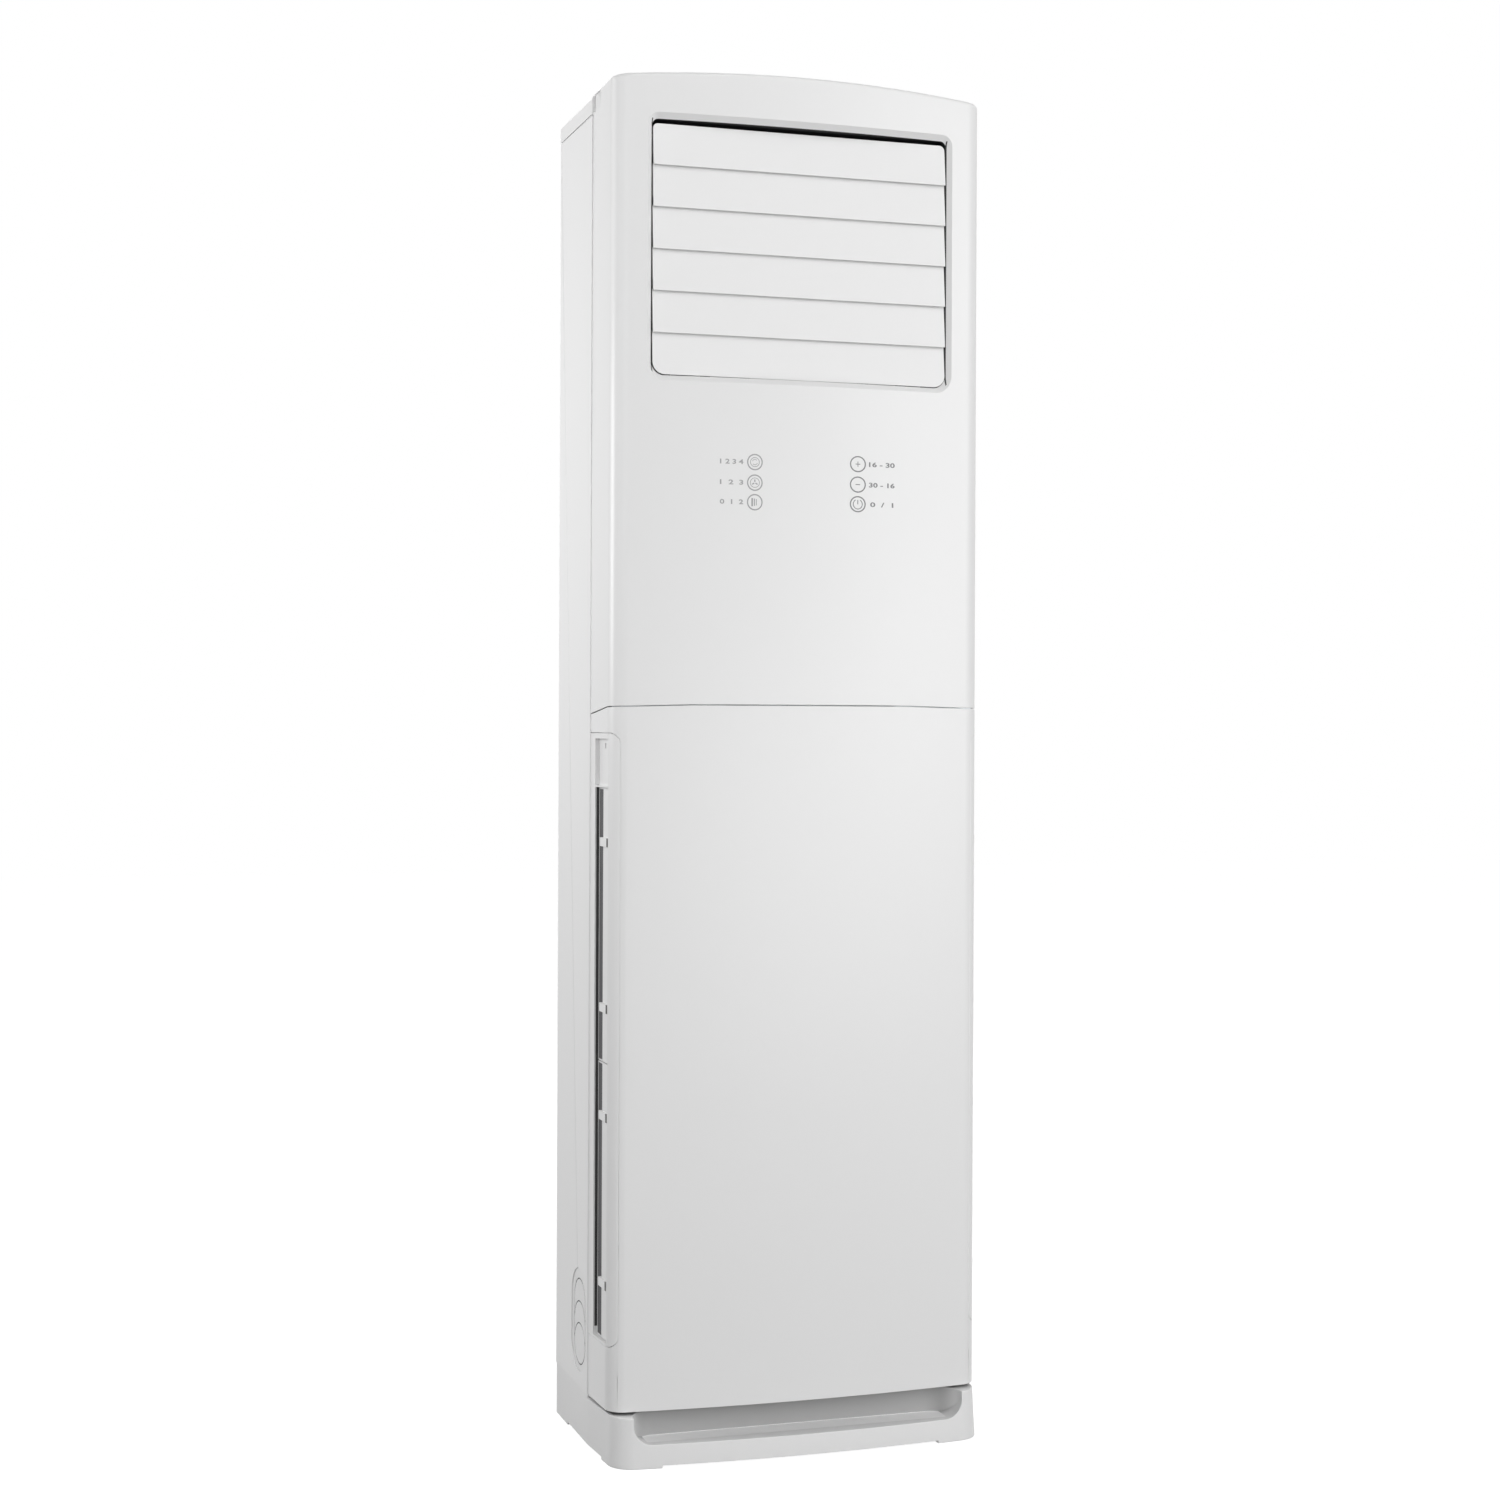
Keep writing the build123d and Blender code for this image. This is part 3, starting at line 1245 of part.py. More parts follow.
with BuildPart() as fan_motor:
    with BuildSketch(wheel_plane) as motor_section:
        with BuildLine():
            Polyline(
                (hub_bore_radius + running_clearance, motor_front_y),
                (hub_bore_radius + 12, motor_front_y), (hub_bore_radius + 12, motor_front_y + 4),
                (motor_radius - 6, motor_front_y + 4), (motor_radius, motor_front_y + 10),
                (motor_radius, volute_rear_y - 6), (motor_radius - 6, volute_rear_y),
                (0, volute_rear_y), (0, motor_front_y + motor_bore_depth),
                (hub_bore_radius + running_clearance, motor_front_y + motor_bore_depth),
                (hub_bore_radius + running_clearance, motor_front_y),
            )
        make_face()
    revolve(axis=wheel_axis)
fan_motor.part.label = "fan_motor"
export_step(fan_motor.part, "parts/fan_motor.step")

with BuildPart() as motor_mount:
    with BuildSketch(Plane.XZ.offset(-volute_rear_y)):
        with Locations((0, wheel_height)):
            Circle(mount_radius)
            with PolarLocations((mount_radius + motor_radius) / 2, 6):
                Circle((mount_radius - motor_radius) / 4, mode=Mode.SUBTRACT)
    extrude(amount=-2)
motor_mount.part.label = "motor_mount"
export_step(motor_mount.part, "parts/motor_mount.step")

# ---------------------------------------------------------------- deck and drain pan
inside_front_y = junction_y + sheet + touch
inside_rear_y = back_y - back_field_depth - sheet - touch
inside_half = inner_side_x - touch
throat_left = scroll_point(scroll_start_angle)[0]
throat_right = scroll_point(360)[0]

with BuildPart() as deck:
    with BuildSketch(Plane.XY.offset(deck_top - pan_sheet)):
        with Locations((0, inside_front_y)):
            Rectangle(
                2 * inside_half, inside_rear_y - inside_front_y, align=(Align.CENTER, Align.MIN)
            )
            Rectangle(
                drain_pan_width, inside_front_y - drain_pan_front_y, align=(Align.CENTER, Align.MAX)
            )
        with Locations((throat_left, volute_front_y + volute_wall)):
            Rectangle(
                throat_right - throat_left, volute_rear_y - volute_front_y - 2 * volute_wall,
                align=(Align.MIN, Align.MIN), mode=Mode.SUBTRACT,
            )
        with Locations((pipe_x, gas_pipe_y)):
            Circle(gas_pipe_diameter / 2 + touch, mode=Mode.SUBTRACT)
        with Locations((pipe_x, liquid_pipe_y)):
            Circle(liquid_pipe_diameter / 2 + touch, mode=Mode.SUBTRACT)
        with Locations((drain_hose_x, drain_hose_y)):
            Circle(drain_hose_diameter / 2 + touch, mode=Mode.SUBTRACT)
    extrude(amount=pan_sheet)
    with BuildSketch(Plane.XY.offset(deck_top)):
        with Locations((0, inside_rear_y)):
            Rectangle(2 * (inside_half - lip_end_gap), pan_sheet, align=(Align.CENTER, Align.MAX))
    extrude(amount=-deck_lip)
deck.part.label = "deck"
export_step(deck.part, "parts/deck.step")

spout_radius = drain_hose_diameter / 2 - drain_hose_wall
spout_end_z = deck_top - 30
with BuildPart() as drain_pan:
    with BuildSketch(Plane.XY.offset(deck_top)):
        with Locations((0, drain_pan_middle_y)):
            RectangleRounded(drain_pan_width, drain_pan_length, drain_pan_corner_radius)
    extrude(amount=drain_pan_height)
    with BuildSketch(Plane.XY.offset(deck_top + drain_pan_wall)):
        with Locations((0, drain_pan_middle_y)):
            RectangleRounded(
                drain_pan_width - 2 * drain_pan_wall, drain_pan_length - 2 * drain_pan_wall,
                drain_pan_corner_radius - drain_pan_wall,
            )
    extrude(amount=drain_pan_height, mode=Mode.SUBTRACT)
    with BuildSketch(Plane.XY.offset(deck_top + drain_pan_wall / 2)) as spout:
        with Locations((drain_hose_x, drain_hose_y)):
            Circle(spout_radius)
    extrude(spout.sketch, amount=spout_end_z - deck_top)
    with BuildSketch(Plane.XY.offset(deck_top + drain_pan_height)) as spout_bore:
        with Locations((drain_hose_x, drain_hose_y)):
            Circle(spout_radius - drain_hose_wall)
    extrude(spout_bore.sketch, amount=spout_end_z - deck_top - drain_pan_height, mode=Mode.SUBTRACT)
drain_pan.part.label = "drain_pan"
export_step(drain_pan.part, "parts/drain_pan.step")

with BuildPart() as drain_hose:
    with BuildSketch(Plane.XY.offset(deck_top - pan_sheet)):
        with Locations((drain_hose_x, drain_hose_y)):
            Circle(drain_hose_diameter / 2)
            Circle(spout_radius, mode=Mode.SUBTRACT)
    extrude(amount=drain_hose_end_z - deck_top)
drain_hose.part.label = "drain_hose"
export_step(drain_hose.part, "parts/drain_hose.step")

# ---------------------------------------------------------------- evaporator
along = Vector(0, math.sin(tilt), math.cos(tilt))
through = Vector(0, math.cos(tilt), -math.sin(tilt))
plate_half_length = coil_length / 2 + end_plate_margin
plate_half_depth = coil_thickness / 2 + end_plate_margin
coil_centre = Vector(
    0, coil_centre_y,
    deck_top + drain_pan_wall + touch + plate_half_length * along.Z - plate_half_depth * through.Z,
)
coil_plane = Plane(origin=coil_centre, x_dir=(1, 0, 0), z_dir=through)
groove_count = int(coil_width / coil_groove_pitch) - 1

with BuildPart() as fin_pack:
    with BuildSketch(coil_plane):
        Rectangle(coil_width, coil_length)
    extrude(amount=coil_thickness / 2, both=True)
    for face_side in (-1, 1):
        with BuildSketch(coil_plane.offset(face_side * coil_thickness / 2)) as grooves:
            with GridLocations(coil_groove_pitch, 1, groove_count, 1):
                Rectangle(coil_groove_width, 2 * coil_length)
        extrude(grooves.sketch, amount=-face_side * coil_groove_depth, mode=Mode.SUBTRACT)
fin_pack.part.label = "fin_pack"
export_step(fin_pack.part, "parts/fin_pack.step")

left_end = Plane(origin=coil_centre + Vector(-coil_width / 2, 0, 0), x_dir=along, z_dir=(-1, 0, 0))
right_end = Plane(origin=coil_centre + Vector(coil_width / 2, 0, 0), x_dir=along, z_dir=(1, 0, 0))
with BuildPart() as coil_end_plates:
    for end in (left_end, right_end):
        with BuildSketch(end) as plate:
            Rectangle(2 * plate_half_length, 2 * plate_half_depth)
        extrude(plate.sketch, amount=end_plate)
coil_end_plates.part.label = "coil_end_plates"
export_step(coil_end_plates.part, "parts/coil_end_plates.step")

header_x = -pipe_x - coil_width / 2  # from the fin pack's end to the header's axis
with BuildPart() as coil_tubes:
    # return bends on the right
    bend_pitch = coil_length / bend_count
    for bend in range(bend_count):
        middle = (bend - (bend_count - 1) / 2) * bend_pitch
        with BuildSketch(right_end.offset(end_plate)) as tube:
            with Locations((middle + bend_radius, 0)):
                Circle(tube_diameter / 2)
        bend_axis_origin = right_end.offset(end_plate).from_local_coords(Vector(middle, 0, 0))
        revolve(tube.sketch, axis=Axis(bend_axis_origin, through), revolution_arc=180)
    # header with its stubs on the left
    header_plane = Plane(
        origin=coil_centre + Vector(pipe_x, 0, 0) + along * header_bottom_along,
        x_dir=(1, 0, 0), z_dir=along,
    )
    with BuildSketch(header_plane) as header:
        Circle(header_diameter / 2)
    extrude(header.sketch, amount=header_top_along - header_bottom_along)
    with BuildSketch(left_end.offset(end_plate)) as stubs:
        with Locations(((header_bottom_along + header_top_along) / 2, 0)):
            with GridLocations(stub_pitch, 1, 7, 1):
                Circle(tube_diameter / 2)
    extrude(stubs.sketch, amount=header_x - end_plate)
coil_tubes.part.label = "coil_tubes"
export_step(coil_tubes.part, "parts/coil_tubes.step")


def piping(points, diameter, start_plane, name):
    """Round pipe along a route with bends of one radius."""
    with BuildPart() as pipe:
        with BuildLine() as route:
            FilletPolyline(*points, radius=pipe_bend_radius)
        with BuildSketch(start_plane) as section:
            Circle(diameter / 2)
        sweep(section.sketch, path=route.line)
    pipe.part.label = name
    return pipe.part


gas_reach = header_diameter / 2 / along.Z + gas_pipe_diameter / 2 * math.tan(tilt)
gas_start = coil_centre + along * gas_branch_along + Vector(pipe_x, gas_reach, 0)
gas_pipe = piping(
    [gas_start, (pipe_x, gas_pipe_y, gas_start.Z), (pipe_x, gas_pipe_y, pipe_end_z)],
    gas_pipe_diameter, Plane(origin=gas_start, x_dir=(1, 0, 0), z_dir=(0, 1, 0)), "gas_pipe",
)
export_step(gas_pipe, "parts/gas_pipe.step")
liquid_start = coil_centre + along * liquid_branch_along + Vector(-coil_width / 2 - end_plate, 0, 0)
liquid_pipe = piping(
    [
        liquid_start, (pipe_x, liquid_start.Y, liquid_start.Z),
        (pipe_x, liquid_pipe_y, liquid_start.Z), (pipe_x, liquid_pipe_y, pipe_end_z),
    ],
    liquid_pipe_diameter, Plane(origin=liquid_start, x_dir=(0, 1, 0), z_dir=(-1, 0, 0)), "liquid_pipe",
)
export_step(liquid_pipe, "parts/liquid_pipe.step")

with BuildPart() as flare_nuts:
    for nut_y, across_flats, bore in (
        (gas_pipe_y, gas_nut_across_flats, gas_pipe_diameter),
        (liquid_pipe_y, liquid_nut_across_flats, liquid_pipe_diameter),
    ):
        with BuildSketch(Plane.XY.offset(pipe_end_z - 2)) as nut:
            with Locations((pipe_x, nut_y)):
                RegularPolygon(across_flats / 2, 6, major_radius=False)
                Circle(bore / 2, mode=Mode.SUBTRACT)
        extrude(nut.sketch, amount=flare_nut_height)
flare_nuts.part.label = "flare_nuts"
export_step(flare_nuts.part, "parts/flare_nuts.step")

# ---------------------------------------------------------------- air guide and covers
with BuildPart() as duct_liner:
    liner_top = duct_top + liner_wall
    with BuildSketch(Plane.YZ.offset(-inside_half)) as block:
        with Locations((inside_front_y, liner_bottom)):
            Rectangle(
                inside_rear_y - inside_front_y, liner_top - liner_bottom, align=(Align.MIN, Align.MIN)
            )
    extrude(block.sketch, amount=2 * inside_half)
    with BuildSketch(Plane.YZ.offset(-inside_half + liner_wall)) as passage:
        with Locations((inside_front_y - 1, liner_bottom - 1)):
            Rectangle(
                inside_rear_y - liner_wall - inside_front_y + 1, duct_top - liner_bottom + 1,
                align=(Align.MIN, Align.MIN),
            )
        fillet(passage.vertices().group_by(Axis.Y)[-1].sort_by(Axis.X)[-1], liner_corner_radius)
    extrude(passage.sketch, amount=2 * (inside_half - liner_wall), mode=Mode.SUBTRACT)
duct_liner.part.label = "duct_liner"
export_step(duct_liner.part, "parts/duct_liner.step")

cover_bottom = deck_top + drain_pan_height + touch
cover_top = duct_bottom - duct_wall - touch
cover_rear_y = duct_rear_y - duct_wall - touch
with BuildPart() as inner_cover:
    with BuildSketch(Plane.YZ.offset(-cover_half_width)) as bent:
        with BuildLine():
            Polyline(
                (drain_pan_front_y, cover_bottom), (cover_y + cover_sheet, cover_bottom),
                (cover_y + cover_sheet, cover_top - cover_sheet),
                (cover_rear_y, cover_top - cover_sheet), (cover_rear_y, cover_top),
                (cover_y, cover_top), (cover_y, cover_bottom + cover_sheet),
                (drain_pan_front_y, cover_bottom + cover_sheet), (drain_pan_front_y, cover_bottom),
            )
        make_face()
    extrude(bent.sketch, amount=2 * cover_half_width)
    # side flanges folded back along the coil
    with BuildSketch(Plane.XY.offset(cover_bottom)) as folds:
        for side in (-1, 1):
            with Locations((side * (cover_half_width - cover_sheet / 2), cover_y)):
                Rectangle(cover_sheet, cover_rear_y - cover_y, align=(Align.CENTER, Align.MIN))
    extrude(folds.sketch, amount=cover_top - cover_bottom)
inner_cover.part.label = "inner_cover"
export_step(inner_cover.part, "parts/inner_cover.step")

with BuildPart() as mid_rail:
    with BuildSketch(Plane.XY.offset(seam_height - rail_height / 2)):
        with Locations((0, rail_y)):
            Rectangle(2 * rail_half_width, panel_rear_y - rail_y, align=(Align.CENTER, Align.MIN))
        with Locations((0, rail_y + rail_thickness)):
            Rectangle(
                2 * (rail_half_width - rail_thickness), panel_rear_y - rail_y,
                align=(Align.CENTER, Align.MIN), mode=Mode.SUBTRACT,
            )
    extrude(amount=rail_height)
mid_rail.part.label = "mid_rail"
export_step(mid_rail.part, "parts/mid_rail.step")

# ---------------------------------------------------------------- electrics
box_rear_y = cover_y - touch
box_front_y = box_rear_y - box_depth
box_middle_z = box_bottom + box_height / 2
board_half_width = box_width / 2 - board_side_margin
board_bottom = box_bottom + board_end_margin
board_top = box_bottom + box_height - board_end_margin
with BuildPart() as electric_box:
    with BuildSketch(Plane.XZ.offset(-box_rear_y)):
        with Locations((0, box_middle_z)):
            RectangleRounded(box_width, box_height, 3)
    extrude(amount=box_depth - sheet)
    with BuildSketch(Plane.XZ.offset(-box_rear_y + sheet)):
        with Locations((0, box_middle_z)):
            RectangleRounded(box_width - 2 * sheet, box_height - 2 * sheet, 3 - sheet)
    extrude(amount=box_depth, mode=Mode.SUBTRACT)
    with BuildSketch(Plane.XZ.offset(-box_rear_y)) as standoffs:
        with Locations((0, box_middle_z)):
            with GridLocations(
                2 * (board_half_width - standoff_inset), board_top - board_bottom - 2 * standoff_inset, 2, 2
            ):
                Circle(standoff_radius)
    extrude(standoffs.sketch, amount=sheet + box_standoff)
electric_box.part.label = "electric_box"
export_step(electric_box.part, "parts/electric_box.step")

with BuildPart() as box_lid:
    with BuildSketch(Plane.XZ.offset(-box_front_y - sheet)):
        with Locations((0, box_middle_z)):
            RectangleRounded(box_width, box_height, 3)
    extrude(amount=sheet)
box_lid.part.label = "box_lid"
export_step(box_lid.part, "parts/box_lid.step")

with BuildPart() as control_board:
    board_rear_y = box_rear_y - sheet - box_standoff
    with BuildSketch(Plane.XZ.offset(-board_rear_y)):
        with Locations((0, box_middle_z)):
            Rectangle(2 * board_half_width, board_top - board_bottom)
    extrude(amount=board_thickness)
    board_front = Plane.XZ.offset(-board_rear_y + board_thickness)
    # mains terminal block and transformer, then relays, processor and capacitor
    with BuildSketch(board_front) as tall_parts:
        with Locations((terminal_inset - board_half_width, board_bottom + low_row_rise)):
            Rectangle(terminal_length, terminal_width)
        with Locations((board_half_width - transformer_inset, board_top - high_row_drop)):
            Rectangle(transformer_width, transformer_height)
    extrude(tall_parts.sketch, amount=tall_part_height)
    with BuildSketch(board_front) as low_parts:
        with Locations((transformer_inset - board_half_width, board_top - high_row_drop)):
            with GridLocations(relay_pitch, relay_pitch, 2, 2):
                Rectangle(relay_length, relay_width)
        with Locations((0, board_bottom + high_row_drop)):
            Rectangle(processor_size, processor_size)
        with Locations((board_half_width - terminal_inset, board_bottom + low_row_rise)):
            Circle(capacitor_radius)
    extrude(low_parts.sketch, amount=low_part_height)
control_board.part.label = "control_board"
export_step(control_board.part, "parts/control_board.step")

with BuildPart() as touch_board:
    with BuildSketch(Plane.XZ.offset(-touch_board_y)):
        with Locations((0, touch_board_z)):
            Rectangle(touch_board_width, touch_board_height)
    extrude(amount=-board_thickness)
    with BuildSketch(Plane.XZ.offset(-touch_board_y - board_thickness)) as connector:
        with Locations((0, touch_board_z - 30)):
            Rectangle(30, 8)
    extrude(connector.sketch, amount=-6)
touch_board.part.label = "touch_board"
export_step(touch_board.part, "parts/touch_board.step")
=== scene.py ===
# %% [markdown]
# # Floor-standing air conditioner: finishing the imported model
#
# The solid model already has every panel, louvre and inner part in its place. This file gives
# each of them the finish it has on the real product, adds the small printed and screwed-on
# things that a solid model leaves out, and sets up the studio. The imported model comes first,
# because everything else is placed from it. All lengths are in metres.

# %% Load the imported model
import json
import math

import bmesh
import bpy
from mathutils import Matrix, Vector

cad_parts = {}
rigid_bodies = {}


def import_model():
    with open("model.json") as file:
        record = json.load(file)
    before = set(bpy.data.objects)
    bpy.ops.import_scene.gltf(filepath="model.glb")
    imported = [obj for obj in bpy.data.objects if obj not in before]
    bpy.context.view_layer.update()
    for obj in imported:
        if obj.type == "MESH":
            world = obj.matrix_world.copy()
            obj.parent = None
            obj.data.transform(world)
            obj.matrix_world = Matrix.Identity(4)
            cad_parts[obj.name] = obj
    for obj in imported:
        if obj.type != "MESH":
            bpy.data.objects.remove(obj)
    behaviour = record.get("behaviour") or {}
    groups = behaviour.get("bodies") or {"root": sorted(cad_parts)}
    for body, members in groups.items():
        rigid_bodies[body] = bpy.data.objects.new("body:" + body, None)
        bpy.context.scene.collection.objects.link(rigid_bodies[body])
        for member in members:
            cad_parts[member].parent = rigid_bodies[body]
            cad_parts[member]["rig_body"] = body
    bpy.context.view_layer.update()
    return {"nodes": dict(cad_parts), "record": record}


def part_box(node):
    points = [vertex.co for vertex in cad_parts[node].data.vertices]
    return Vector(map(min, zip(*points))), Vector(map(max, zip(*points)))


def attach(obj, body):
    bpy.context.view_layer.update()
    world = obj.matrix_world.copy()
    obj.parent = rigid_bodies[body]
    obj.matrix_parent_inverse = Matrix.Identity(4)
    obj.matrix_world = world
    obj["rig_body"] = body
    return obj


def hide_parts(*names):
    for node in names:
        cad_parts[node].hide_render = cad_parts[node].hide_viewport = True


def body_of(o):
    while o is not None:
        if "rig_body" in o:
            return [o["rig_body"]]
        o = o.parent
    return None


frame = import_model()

scene = bpy.context.scene
nodes = frame["nodes"]
slot_of = {part["node"]: part["material_slot"] for part in frame["record"]["subparts"]}

# %% [markdown]
# ## The camera
#
# The photograph was taken with an ordinary lens, level, from the left of the cabinet and about
# at the height of the touch marks. A level camera keeps upright edges upright. The small
# upward shift moves the picture without tilting the camera, which is what a shift lens does.
# The picture is also rolled by a quarter of a degree, as the photograph is.

# %% Camera
PICTURE = 1500
LENS_PIXELS = 2490.2
HORIZON_ROW = 722.8
FILM_WIDTH = 36
CAMERA_PLACE = (-1.0293, -3.1252, 0.9288)
CAMERA_TURN, CAMERA_ROLL = -17.74, 0.24
camera_data = bpy.data.cameras.new("studio_camera")
camera_data.sensor_width = FILM_WIDTH
camera_data.lens = FILM_WIDTH * LENS_PIXELS / PICTURE
camera_data.shift_y = (HORIZON_ROW - PICTURE / 2) / PICTURE
camera_data.clip_start = 0.1
camera_data.clip_end = 60
camera = bpy.data.objects.new("studio_camera", camera_data)
scene.collection.objects.link(camera)
camera.matrix_world = (
    Matrix.Translation(CAMERA_PLACE)
    @ Matrix.Rotation(math.radians(CAMERA_TURN), 4, "Z")
    @ Matrix.Rotation(math.radians(90), 4, "X")
    @ Matrix.Rotation(math.radians(CAMERA_ROLL), 4, "Z")
)
scene.camera = camera
print("lens", round(camera_data.lens, 2), "shift", round(camera_data.shift_y, 4))

# %% [markdown]
# ## The studio
#
# White goods are photographed in a white room. The room is white only for the camera, for
# reflections and for clear parts. The light on the object comes from a few large soft lamps, so
# that the front, which faces the brightest of them, is a little lighter than the side. Three
# smaller ones lift the front left corner, the middle of the side and its top.

# %% Which rays see the white room


def looked_at(tree):
    """1 for rays of the camera, of reflections and of clear parts, 0 for rays that only light."""
    path = tree.nodes.new("ShaderNodeLightPath")
    seen_by = path.outputs["Is Camera Ray"]
    for ray in ("Is Glossy Ray", "Is Transmission Ray"):
        either = tree.nodes.new("ShaderNodeMath")
        either.operation = "MAXIMUM"
        tree.links.new(seen_by, either.inputs[0])
        tree.links.new(path.outputs[ray], either.inputs[1])
        seen_by = either.outputs[0]
    return seen_by


# %% World and colour management
ROOM_LIGHT, ROOM_SEEN = 0.25, 1.0
scene.view_settings.view_transform = "Standard"
world = bpy.data.worlds.new("studio")
scene.world = world
world.use_nodes = True
tree = world.node_tree
tree.nodes.clear()
world_out = tree.nodes.new("ShaderNodeOutputWorld")
choose = tree.nodes.new("ShaderNodeMixShader")
tree.links.new(looked_at(tree), choose.inputs["Fac"])
for socket, strength in ((1, ROOM_LIGHT), (2, ROOM_SEEN)):
    white_room = tree.nodes.new("ShaderNodeBackground")
    white_room.inputs["Color"].default_value = (1, 1, 1, 1)
    white_room.inputs["Strength"].default_value = strength
    tree.links.new(white_room.outputs[0], choose.inputs[socket])
tree.links.new(choose.outputs[0], world_out.inputs["Surface"])
print("the room lights with", ROOM_LIGHT, "and is seen as", ROOM_SEEN)

# %% Lamps


def softbox(name, place, target, width, height, watts):
    """A large rectangular lamp at a place, turned towards a target."""
    data = bpy.data.lights.new(name, "AREA")
    data.shape = "RECTANGLE"
    data.size, data.size_y = width, height
    data.energy = watts
    lamp = bpy.data.objects.new(name, data)
    scene.collection.objects.link(lamp)
    aim = (Vector(target) - Vector(place)).to_track_quat("-Z", "Y")
    lamp.matrix_world = Matrix.Translation(place) @ aim.to_matrix().to_4x4()
    lamp.visible_camera = False


lamps = (
    ("front_high_light", (0.4, -2.6, 3.6), (0, 0, 1.0), 2.0, 1.6, 21),
    ("front_low_light", (1.2, -3.2, 0.7), (0, 0, 0.6), 2.0, 1.0, 21),
    ("front_right_light", (2.2, -3.2, 1.9), (0, 0, 1.1), 1.6, 2.2, 39),
    ("front_left_light", (-1.6, -3.4, 2.0), (0, 0, 1.2), 2.0, 2.0, 25),
    ("corner_light", (-3.0, -2.1, 1.6), (-0.2, -0.1, 1.1), 0.5, 2.6, 9),
    ("side_middle_light", (-1.5, 0.3, 1.3), (-0.25, 0.1, 1.3), 0.6, 0.6, 9),
    ("side_high_light", (-1.7, 0.4, 2.1), (-0.25, 0, 1.5), 0.8, 0.8, 4),
    ("right_light", (3.4, -2.6, 1.6), (0.2, 0, 1.1), 1.4, 2.6, 10),
    ("back_light", (0.8, 3.6, 2.4), (0, 0.15, 1.0), 2.0, 2.0, 40),
)
for lamp in lamps:
    softbox(*lamp)
print("lamps", len(lamps))

# %% Floor
# Its own glow makes it white to look at, and its matt grey keeps the cabinet's shadow.
FLOOR_SIZE = 24
FLOOR_GREY = 0.32
FLOOR_GLOW = 0.92
bpy.ops.mesh.primitive_plane_add(size=FLOOR_SIZE, location=(0, 0, 0))
floor = bpy.context.object
floor.name = "floor"
floor_material = bpy.data.materials.new("floor_white")
floor_material.use_nodes = True
tree = floor_material.node_tree
tree.nodes.clear()
floor_out = tree.nodes.new("ShaderNodeOutputMaterial")
floor_matt = tree.nodes.new("ShaderNodeBsdfDiffuse")
floor_matt.inputs["Color"].default_value = (FLOOR_GREY, FLOOR_GREY, FLOOR_GREY, 1)
floor_glow = tree.nodes.new("ShaderNodeEmission")
floor_level = tree.nodes.new("ShaderNodeMath")
floor_level.operation = "MULTIPLY"
floor_level.inputs[1].default_value = FLOOR_GLOW
floor_sum = tree.nodes.new("ShaderNodeAddShader")
tree.links.new(looked_at(tree), floor_level.inputs[0])
tree.links.new(floor_level.outputs[0], floor_glow.inputs["Strength"])
tree.links.new(floor_matt.outputs[0], floor_sum.inputs[0])
tree.links.new(floor_glow.outputs[0], floor_sum.inputs[1])
tree.links.new(floor_sum.outputs[0], floor_out.inputs["Surface"])
floor.data.materials.append(floor_material)
print("floor", FLOOR_SIZE, "m wide, grey", FLOOR_GREY, "glow", FLOOR_GLOW)

# %% [markdown]
# ## A way to write materials
#
# Shader nodes are easy to read as formulas and hard to read as wiring code. The first small
# class below wraps a node's output, so that ordinary Python arithmetic on it adds the Math
# nodes. The second is one material: it adds the other nodes and feeds the shader.

# %% Shader values
HARD_EDGE = 0.00001


class Flow:
    """An output socket whose arithmetic adds Math nodes to the same material."""

    def __init__(self, finish, socket):
        self.finish, self.socket = finish, socket

    def maths(self, operation, *others):
        values = dict(enumerate((self,) + others))
        return self.finish.add("ShaderNodeMath", {"operation": operation}, values)

    def __add__(self, other):
        return self.maths("ADD", other)

    __radd__ = __add__

    def __mul__(self, other):
        return self.maths("MULTIPLY", other)

    __rmul__ = __mul__

    def __sub__(self, other):
        return self.maths("SUBTRACT", other)

    def __rsub__(self, other):
        return self.maths("MULTIPLY", -1.0).maths("ADD", other)


